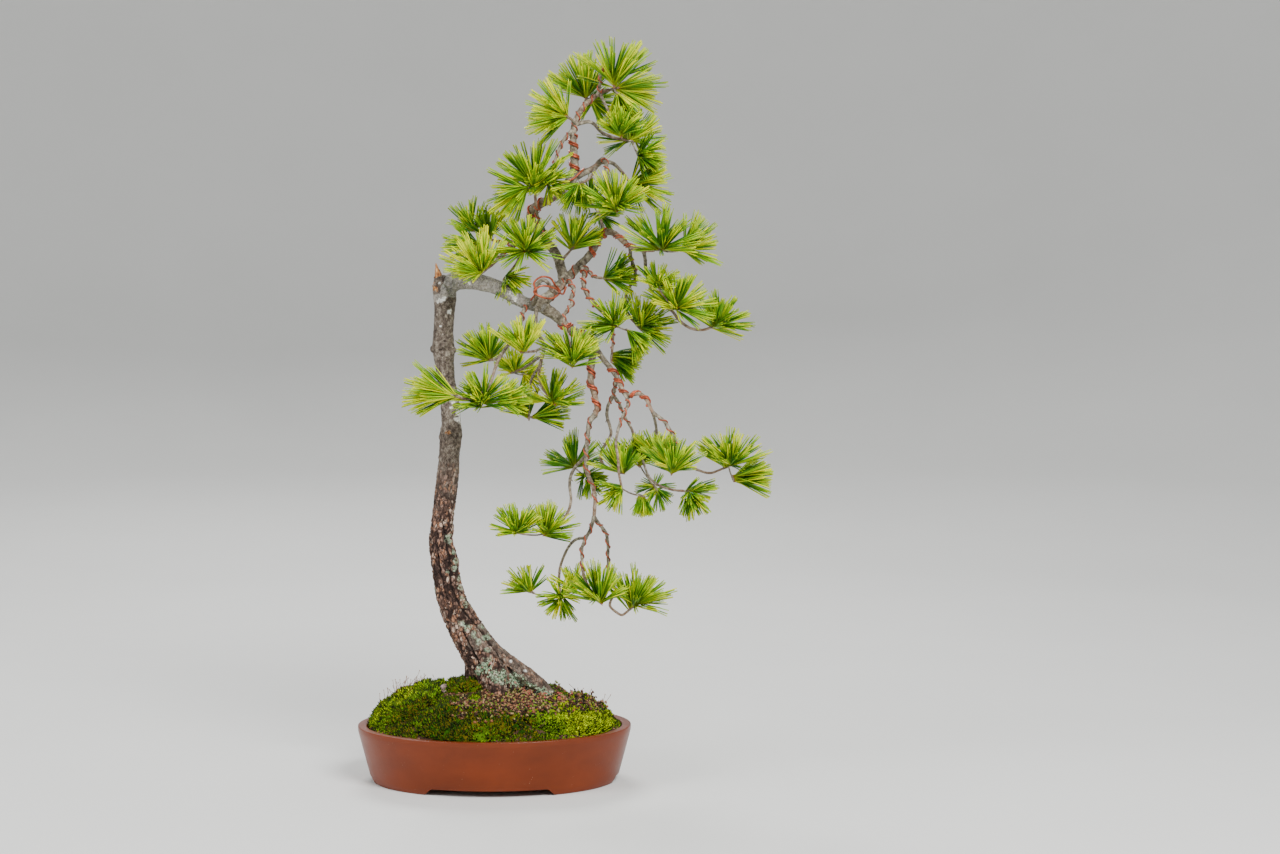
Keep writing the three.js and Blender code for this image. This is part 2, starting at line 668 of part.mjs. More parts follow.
function makePot() {
  const half = POT_WIDTH / 2;
  const profile = [
    [0, POT_FLOOR.under],
    [112, POT_FLOOR.under],
    [112, 0],
    [134, 0],
    [136.5, 5],
    [143.5, 31],
    [147.5, 53],
    [half, 55.5],
    [half, 59.5],
    [half - 1.5, POT_HEIGHT],
    [half - 10, POT_HEIGHT],
    [138, 50],
    [124, POT_FLOOR.top],
    [0, POT_FLOOR.top],
  ];
  const front = solidOf(notch(FOOT_NOTCH.bottomWidth, FOOT_NOTCH.topWidth, POT_DEPTH + CUT_PAST));
  const ends = notch(FOOT_NOTCH.endWidth, FOOT_NOTCH.endTopWidth, POT_WIDTH + CUT_PAST);
  ends.rotateZ(Math.PI / 2);
  const holes = [-1, 1].map((side) => {
    const hole = new THREE.CylinderGeometry(DRAIN.hole / 2, DRAIN.hole / 2, 2 * CUT_PAST, DRAIN.sides);
    hole.rotateX(Math.PI / 2);
    hole.translate(side * DRAIN.offset, 0, 0);
    return solidOf(hole);
  });
  return ovalOf(profile).subtract(wasm.Manifold.union([front, solidOf(ends), ...holes]));
}

// Drain nets lie over the two holes, under the soil
function makeDrainNet(side) {
  const plate = solidOf(new THREE.BoxGeometry(DRAIN.plate, DRAIN.plate, DRAIN.thick));
  const step = DRAIN.cell + DRAIN.bar;
  const cells = [];
  for (const column of [-0.5, 0.5]) {
    for (const row of [-0.5, 0.5]) {
      const cell = new THREE.BoxGeometry(DRAIN.cell, DRAIN.cell, DRAIN.thick * 3);
      cell.translate(column * step, row * step, 0);
      cells.push(solidOf(cell));
    }
  }
  const up = POT_FLOOR.top + SEAT_GAP + DRAIN.thick / 2;
  return plate.subtract(wasm.Manifold.union(cells)).translate([side * DRAIN.offset, 0, up]);
}

// Soil: fills the pot and rises to a mound under the trunk
function soilHeight(out) {
  return SOIL_EDGE + (SOIL_PEAK - SOIL_EDGE) * (1 - out * out) ** 0.8;
}

const SOIL_INSET = 0.4;
const SOIL_HALF = 139.1 - SOIL_INSET;
function makeMound() {
  const rings = [1, 0.94, 0.84, 0.66, 0.36, 0];
  const profile = [
    [0, POT_FLOOR.top + SEAT_GAP],
    [124 - SOIL_INSET, POT_FLOOR.top + SEAT_GAP],
    [138 - SOIL_INSET, 50],
    ...rings.map((out) => [SOIL_HALF * out, soilHeight(out)]),
  ];
  return ovalOf(profile);
}

function netBed(side) {
  const bed = new THREE.BoxGeometry(DRAIN.plate + 2 * SEAT_GAP, DRAIN.plate + 2 * SEAT_GAP, 10);
  const roof = POT_FLOOR.top + DRAIN.thick + 2 * SEAT_GAP;
  bed.translate(side * DRAIN.offset, 0, roof - 5);
  return solidOf(bed);
}

// Moss: a lumpy cushion bent along the rim, cut to sit on the soil
function makeMoss({ middle, half, inner, outer, height }, mound, hollow) {
  const cushion = new THREE.SphereGeometry(1, 12, 6);
  const position = cushion.attributes.position;
  for (let i = 0; i < position.count; i += 1) {
    const [x, y, z] = [position.getX(i), position.getY(i), position.getZ(i)];
    const turn = THREE.MathUtils.degToRad(middle + half * x);
    const out = (inner + outer) / 2 + ((outer - inner) / 2) * z;
    const lump = 1 + 0.16 * Math.sin(9 * x + middle) + 0.12 * Math.sin(11 * z + 5 * x);
    const flat = POT_DEPTH / POT_WIDTH;
    const up = soilHeight(Math.abs(out)) + height * y * (y > 0 ? lump : 1);
    position.setXYZ(i, SOIL_HALF * out * Math.cos(turn), SOIL_HALF * flat * out * Math.sin(turn), up);
  }
  const lifted = mound.translate([0, 0, SEAT_GAP + 0.1]);
  return solidOf(cushion).subtract(lifted).subtract(hollow);
}

// Wood: trunk, roots, limbs and the dead stub, grown into one body
const TRUNK_SIDES = 10;
const ROOT_SIDES = 6;
const BOUGH_SIDES = 6;
const TWIG_SIDES = 4;
const grownLimbs = {};
const woodRods = {};
const ownWood = {};
function growTrunk() {
  return sampled(TRUNK, TRUNK.map((row) => row[3]), 34);
}

function growRoot({ through, radii }) {
  return sampled(through, radii, 4);
}

function growLimbs() {
  const trunk = growTrunk();
  woodRods.trunk = rod(trunk.points, trunk.radii, TRUNK_SIDES);
  keepClear("trunk", trunk.points, trunk.radii);
  for (const [name, root] of Object.entries(ROOTS)) {
    const limb = growRoot(root);
    woodRods[`root_${name}`] = rod(limb.points, limb.radii, ROOT_SIDES);
    keepClear(name, limb.points, limb.radii);
  }
  for (const [name, { radii, through }] of Object.entries(LIMBS)) {
    const thick = radii[0] > 4;
    const steps = Math.round((through.length - 1) * (thick ? 1.4 : 0.85));
    const limb = sampled(through, radii, steps);
    grownLimbs[name] = limb;
    woodRods[name] = rod(limb.points, limb.radii, thick ? BOUGH_SIDES : TWIG_SIDES);
    keepClear(name, limb.points, limb.radii);
    const [before, end] = limb.points.slice(-2);
    const stop = end.clone().addScaledVector(end.clone().sub(before).normalize(), -limb.radii.at(-1));
    const run = [...limb.points.slice(0, -1), stop];
    ownWood[name] = run.slice(1).map((to, i) => strip("wood", run[i], to, limb.radii[i], limb.radii[i + 1]));
  }
}

// The hole that the buried wood stands in: the same rods, a seat gap larger all round
function loosened({ points, radii }, sides) {
  const before = points[0].clone().sub(points[1]).setLength(SOIL_INSET);
  const after = points.at(-1).clone().sub(points.at(-2)).setLength(SOIL_INSET);
  const longer = points.slice();
  longer[0] = points[0].clone().add(before);
  longer[points.length - 1] = points.at(-1).clone().add(after);
  return rod(longer, radii.map((radius) => radius + SOIL_INSET), sides);
}

function rootHollow() {
  const buried = 9;
  const trunk = growTrunk();
  const low = { points: trunk.points.slice(0, buried), radii: trunk.radii.slice(0, buried) };
  const roots = Object.values(ROOTS).map((root) => loosened(growRoot(root), ROOT_SIDES));
  return wasm.Manifold.union([loosened(low, TRUNK_SIDES), ...roots]);
}

// Wires: a coil that starts at the first turn of its circle where it passes clear of every other twig
const WIRE_SEGMENTS = 6;
function coil({ limb, from, to, rise }, start) {
  const { points, radii } = grownLimbs[limb];
  const frames = framesOf(points);
  const last = points.length - 1;
  let length = 0;
  points.slice(1).forEach((point, i) => {
    length += point.distanceTo(points[i]);
  });
  const count = Math.round(((length * (to - from)) / rise) * WIRE_SEGMENTS);
  const path = [];
  for (let i = 0; i <= count; i += 1) {
    const place = (from + ((to - from) * i) / count) * last;
    const ring = Math.min(Math.floor(place), last - 1);
    const part = place - ring;
    const normal = frames[ring].normal.clone().lerp(frames[ring + 1].normal, part).normalize();
    const across = frames[ring].across.clone().lerp(frames[ring + 1].across, part).normalize();
    const radius = THREE.MathUtils.lerp(radii[ring], radii[ring + 1], part);
    const out = (radius + SEAT_GAP + WIRE_RADIUS) / Math.cos(Math.PI / WIRE_SEGMENTS);
    const turn = start + (i / WIRE_SEGMENTS) * 2 * Math.PI;
    const point = points[ring].clone().lerp(points[ring + 1], part);
    point.addScaledVector(normal, out * Math.cos(turn)).addScaledVector(across, out * Math.sin(turn));
    path.push(point);
  }
  return path;
}

function wind(name, wire) {
  for (const pace of [1, 0.94, 1.06, 0.88, 1.12, 0.8, 1.2]) {
    for (let degrees = 0; degrees < 360; degrees += 8) {
      const path = coil({ ...wire, rise: wire.rise * pace }, THREE.MathUtils.degToRad(degrees));
      const turns = path.slice(1).map((end, k) => strip(wire.limb, path[k], end, WIRE_RADIUS, WIRE_RADIUS));
      if (!turns.some((turn) => crowded(turn, SEAT_GAP, pieces))) {
        pieces.push(...turns.map((turn) => ({ ...turn, owner: name })));
        return rod(path, path.map(() => WIRE_RADIUS), 3);
      }
    }
  }
  throw new Error(`${name} has no clear way around its limb`);
}

// Sprays: a tuft's core carries on from its twig or shoot, and the needles on it point to their own aim
const UP = new THREE.Vector3(0, 0, 1);
function layTufts() {
  const tufts = [];
  for (const [spray, list] of Object.entries(SPRAYS)) {
    let joint = null;
    for (const { at, aim, reach, spread, size } of list) {
      const core = CORES[size];
      const axis = new THREE.Vector3();
      let middle;
      if (at) {
        middle = placed(at);
        axis.subVectors(middle, joint).normalize();
      } else {
        const [before, end] = grownLimbs[spray].points.slice(-2);
        axis.subVectors(end, before).normalize();
        middle = end.clone().addScaledVector(axis, SEAT_GAP + core.half);
      }
      const rear = middle.clone().addScaledVector(axis, -core.half * 0.7);
      const front = middle.clone().addScaledVector(axis, core.half * 0.7);
      keepClear(spray, [rear, front], [core.radius * 0.8, core.radius * 0.8]);
      if (joint) {
        keepClear(spray, [joint, middle], [SHOOT_RADIUS, SHOOT_RADIUS]);
      }
      const needlesTo = new THREE.Vector3(...aim).normalize();
      tufts.push({ spray, core, middle, axis, needlesTo, reach, spread, joint });
      joint = joint ?? middle;
    }
  }
  return tufts;
}

function growTuft({ spray, core, middle, axis, needlesTo, reach, spread }) {
  const ball = new THREE.OctahedronGeometry(1, core.detail);
  ball.deleteAttribute("normal");
  ball.deleteAttribute("uv");
  const merged = mergeVertices(ball, 1e-4);
  const toAxis = new THREE.Quaternion().setFromUnitVectors(UP, axis);
  const toAim = new THREE.Quaternion().setFromUnitVectors(UP, needlesTo);
  const fromAim = toAim.clone().invert();
  const unit = [];
  const vertices = [];
  for (let i = 0; i < merged.attributes.position.count; i += 1) {
    const corner = new THREE.Vector3().fromBufferAttribute(merged.attributes.position, i);
    unit.push(corner.clone().applyQuaternion(toAxis).applyQuaternion(fromAim));
    corner.multiply(new THREE.Vector3(core.radius, core.radius, core.half));
    vertices.push(corner.applyQuaternion(toAxis).add(middle));
  }
  const faces = [];
  const triangles = [];
  for (let i = 0; i < merged.index.count; i += 3) {
    const corners = [0, 1, 2].map((k) => merged.index.getX(i + k));
    const facing = corners.reduce((sum, k) => sum.add(unit[k]), new THREE.Vector3()).normalize();
    const forward = facing.clone().applyQuaternion(toAim).dot(axis);
    if (forward > REARMOST) {
      faces.push({ corners, facing, polar: Math.acos(facing.z) });
    } else {
      triangles.push(...corners);
    }
  }
  faces.sort((p, q) => p.polar - q.polar);
  const widest = faces[Math.min(core.needles, faces.length) - 1].polar;
  faces.forEach(({ corners, facing, polar }, rank) => {
    let tip = null;
    if (rank < core.needles) {
      const [a, b, c] = corners.map((k) => vertices[k]);
      const base = new THREE.Vector3().add(a).add(b).add(c).divideScalar(3);
      const outward = b.clone().sub(a).cross(c.clone().sub(a)).normalize();
      const lean = THREE.MathUtils.degToRad(spread) * (polar / widest);
      const turn = Math.atan2(facing.y, facing.x);
      const wide = Math.max(...[a, b, c].map((corner) => corner.distanceTo(base)));
      tip = needleTip({ spray, base, wide, outward, axis, lean, turn, toAim, reach });
    }
    if (tip) {
      const apex = vertices.push(tip) - 1;
      const [a, b, c] = corners;
      triangles.push(a, b, apex, b, c, apex, c, a, apex);
    } else {
      triangles.push(...corners);
    }
  });
  const vertProperties = new Float32Array(vertices.flatMap((point) => point.toArray()));
  const mesh = new wasm.Mesh({ numProp: 3, vertProperties, triVerts: new Uint32Array(triangles) });
  return new wasm.Manifold(mesh);
}

// A needle takes the first direction near its own that is free, and at last a shorter length
const NEEDLE_TRIES = 16;
const blades = [];
function needleTip({ spray, base, wide, outward, axis, lean, turn, toAim, reach }) {
  const full = reach * between(0.86, 1.04);
  for (let attempt = 0; attempt < NEEDLE_TRIES; attempt += 1) {
    const loose = 0.05 + 0.035 * attempt;
    const tilt = lean + between(-loose, loose);
    const around = turn + 1.5 * between(-loose, loose);
    const to = new THREE.Vector3().setFromSphericalCoords(1, tilt, around);
    to.set(to.z, to.x, to.y).applyQuaternion(toAim);
    while (to.dot(outward) < 0.25 || to.dot(axis) < REARMOST) {
      to.addScaledVector(outward, 0.2).normalize();
    }
    const length = attempt < 10 ? full : full * (1.55 - 0.08 * attempt);
    const tip = base.clone().addScaledVector(to, length);
    const bend = base.clone().lerp(tip, 0.3);
    const root = strip(spray, base, bend, wide, wide * 0.7);
    const blade = strip(spray, bend, tip, wide * 0.7, NEEDLE_TIP);
    const slim = strip(tip, bend, tip, NEEDLE_MIDDLE, NEEDLE_TIP);
    const heel = strip(tip, base, bend, wide * 0.6, wide * 0.4);
    const free = !crowded(root, NEEDLE_CLEARANCE, pieces)
      && !crowded(blade, NEEDLE_CLEARANCE, pieces)
      && !crowded(slim, NEEDLE_CLEARANCE / 2, blades)
      && !crowded(slim, NEEDLE_CLEARANCE, ownWood[spray])
      && !crowded(heel, 0.1, ownWood[spray]);
    if (free) {
      pieces.push(root, blade);
      blades.push(slim);
      return tip;
    }
  }
  return null;
}

// Put together
growLimbs();
const wood = wasm.Manifold.union(Object.values(woodRods));
const wires = Object.entries(WIRES).map(([name, wire]) => [name, wind(name, wire)]);
const tufts = layTufts();
const hollow = rootHollow();
const mound = makeMound();
const beds = wasm.Manifold.union([netBed(-1), netBed(1)]);

addNode("pot", makePot(), COLOURS.clay);
addNode("drain_net_left", makeDrainNet(-1), COLOURS.net);
addNode("drain_net_right", makeDrainNet(1), COLOURS.net);
addNode("soil", mound.subtract(hollow).subtract(beds), COLOURS.soil);
for (const [name, cushion] of Object.entries(MOSS)) {
  addNode(name, makeMoss(cushion, mound, hollow), COLOURS.moss);
}
addNode("pine_wood", wood, COLOURS.bark);
for (const [name, solid] of wires) {
  addNode(name, solid, COLOURS.copper);
}
for (const spray of Object.keys(SPRAYS)) {
  const parts = [];
  for (const tuft of tufts.filter((one) => one.spray === spray)) {
    parts.push(growTuft(tuft));
    if (tuft.joint) {
      parts.push(rod([tuft.joint, tuft.middle], [SHOOT_RADIUS, SHOOT_RADIUS], 3));
    }
  }
  addNode(`needles_${spray}`, wasm.Manifold.union(parts), COLOURS.needles);
}

// The origin is under the middle of the whole outline, on the ground
const outline = new THREE.Box3().setFromObject(bonsai);
const centre = outline.getCenter(new THREE.Vector3());
bonsai.position.set(-centre.x, -centre.y, -outline.min.z);

export default standing;
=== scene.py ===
"""A weeping white pine bonsai in an oval clay pot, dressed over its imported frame."""
import math
import random
from collections import namedtuple

import bmesh
import bpy
import numpy as np
from mathutils import Matrix, Vector, noise
from mathutils.bvhtree import BVHTree
from mathutils.kdtree import KDTree


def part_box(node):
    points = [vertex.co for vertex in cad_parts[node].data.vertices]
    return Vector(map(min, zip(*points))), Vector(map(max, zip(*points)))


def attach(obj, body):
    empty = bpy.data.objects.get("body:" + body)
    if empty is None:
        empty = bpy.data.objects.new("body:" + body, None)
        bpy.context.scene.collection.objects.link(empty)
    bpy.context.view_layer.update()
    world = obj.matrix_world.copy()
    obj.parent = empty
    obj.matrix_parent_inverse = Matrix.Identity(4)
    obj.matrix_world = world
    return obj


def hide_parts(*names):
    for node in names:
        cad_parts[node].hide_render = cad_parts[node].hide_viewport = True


bl_info = {
    "name": "Weeping Pine Bonsai",
    "version": (1, 0, 0),
    "blender": (4, 5, 0),
    "location": "View3D > Sidebar > Bonsai",
    "description": "Dresses a potted weeping pine with bark, needles, wire and moss, under studio light",
    "category": "Add Mesh",
}

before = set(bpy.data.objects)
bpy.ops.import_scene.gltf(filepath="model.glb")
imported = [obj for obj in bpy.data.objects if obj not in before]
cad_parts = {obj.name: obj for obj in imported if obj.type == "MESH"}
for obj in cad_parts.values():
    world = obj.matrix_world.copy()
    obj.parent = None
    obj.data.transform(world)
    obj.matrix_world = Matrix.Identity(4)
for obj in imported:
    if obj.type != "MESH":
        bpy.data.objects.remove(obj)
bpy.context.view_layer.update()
MM = 0.001
POT_LOW, POT_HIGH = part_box("pot")
POT_CENTRE = Vector(((POT_LOW.x + POT_HIGH.x) / 2, (POT_LOW.y + POT_HIGH.y) / 2, 0))
POT_HALF = (POT_HIGH.x - POT_LOW.x) / 2
POT_FLAT = (POT_HIGH.y - POT_LOW.y) / (POT_HIGH.x - POT_LOW.x)

# The picture's view: pixels of its 1280 by 854, and metres from the middle of the pot
MIDDLE_ACROSS = 640
MIDDLE_DOWN = 427
FOCAL_PIXELS = 2290
VIEW_POINT = Vector((0.160, -2.5, 0.5253))
VIEW_TILT = math.radians(3.15)
DEPTH_SPREAD = 1.5

Route = namedtuple("Route", "radii through")
Tuft = namedtuple("Tuft", "aim reach spread size at", defaults=(None,))
Coil = namedtuple("Coil", "limb start stop rise")
Cushion = namedtuple("Cushion", "middle half inner outer height")

# Pot, in metres
ROUND_STEPS = 5
POT_STEPS = 192
WALL = 0.010
FRONT_NOTCH = (0.139, 0.125)
END_NOTCH = (0.056, 0.046)
NOTCH_HEIGHT = 0.0075
NOTCH_CORNER = 0.003
DRAIN_OFFSET = 0.058
DRAIN_RADIUS = 0.011
DRAIN_SIDES = 48
SHARP = math.radians(38)

# Soil, moss and litter, in metres, and the soil's edge and peak in millimetres
SOIL_HALF = 0.1387
SOIL_EDGE = 56
SOIL_PEAK = 103
SOIL_FLOOR = 0.0143
SOIL_ROUGH_FROM = 0.052
SOIL_RINGS = 56
SOIL_STEPS = 180
CLUMP_SHOOTS = 10
CLUMP_RADIUS = 0.0036
CLUMP_STEP = 0.0041
MOSS_FULLNESS = 0.6
MOSS_ROOTS = 0.006
MOSS_RIM = 0.985
THIN_MOSS_FROM = 0.5
CLUMP_GRAINS = 5
PLAIN_GRAINS = 0.68
GRAIN_ACCENTS = (0.7, 0.72, 0.74, 0.77, 0.79, 0.81, 0.66, 0.92)
LITTER_STEP = 0.0033
STALK_RADII = (0.00028, 0.00022, 0.00022, 0.0005)
FRILLS = 38

# Wood and bark, in metres. The flaky bark starts and is full at these pixels down
THICK_STEP = 0.003
TWIG_STEP = 0.0018
SPUR_RADII = (0.0008, 0.0006, 0.0004)
TRUNK_SIDES = 40
ROOT_SIDES = 28
BARK_GRAIN = 0.00098
PLATE_SIZE = 0.0052
PLATE_STRETCH = 0.6
FLAKY_FROM = 440
FLAKY_FULL = 520
CRACK_DEPTH = 0.0024
CRACK_EDGES = (0.2, 1.9)
BARK_SEED = 7
ARM_PALE = 0.42

# Wire, with the second strand's turn in radians
TURN_STEPS = 20
WIRE_LIFT = 0.8
WIRE_SIDES = 8
TWIN_TURN = 1.18

# Needles, in metres, and the shoots between tufts in millimetres
SHOOT_RADIUS = 0.9
BUD_RADII = (0.0012, 0.0014, 0.0014, 0.0011, 0.0005)
TWIG_GAP = 0.0003
NEEDLE_LENGTH = 0.045
NEEDLE_SHAPE = (0.7, 1, 1, 0.72)
NEEDLE_SIDES = 3
BUNDLE_KINDS = 14
BUNDLE_SPLAY = 0.084
FULLER = 1.06
GOLDEN_TURN = math.pi * (3 - math.sqrt(5))
CAP = math.radians(124)
REARMOST = -0.5

# Stage: the sensor's width in millimetres, and the floor's sweep in metres
SENSOR = 36
SWEEP = 5

# Radians that a small copy is rolled by at most
ROLL = 6.28

# The wood's routes and the tufts are traced over the picture, as the part's solids are: pixels across and
# down, a depth in millimetres before it is spread, and radii in millimetres. Minus is towards the viewer
TRUNK = [
    (503, 700, 0, 26), (496, 680, 0, 25), (488, 665, 0, 22), (479, 650, 0, 20.5),
    (470, 636, 0, 19), (460, 619, 0, 17.5), (452, 600, 0, 15.5), (447, 580, 0, 14.6),
    (444.5, 560, 0, 14.8), (441, 543, 0, 13), (442, 528, 0, 12.4), (443.5, 512, 0, 11.8),
    (445.5, 495, 0, 12.2), (448, 475, 0, 12.2), (449.5, 455, 0, 11), (451, 436, 0, 12.4),
    (451, 420, 0, 10.4), (449.5, 400, 0, 10.2), (446, 380, 0, 9.9), (444.5, 365, 0, 10),
    (443.5, 348, 0, 12.6), (443.5, 332, 0, 10.8), (444.5, 312, 0, 11.2), (445, 297, 0, 12.8),
    (443, 286, 0, 12), (440, 279, 0, 8),
]

ROOTS = {
    "right": Route((14, 6), [
        (475, 638, -1), (496, 656, -4), (515, 668, -6), (535, 681, -7), (552, 696, -6),
    ]),
    "front": Route((15, 9), [(482, 648, -1), (492, 668, -10), (500, 698, -20)]),
    "left": Route((14, 8), [(481, 648, 1), (475, 670, 1), (467, 697, 2)]),
    "back": Route((15, 9), [(484, 650, 1), (499, 672, 12), (512, 698, 21)]),
}

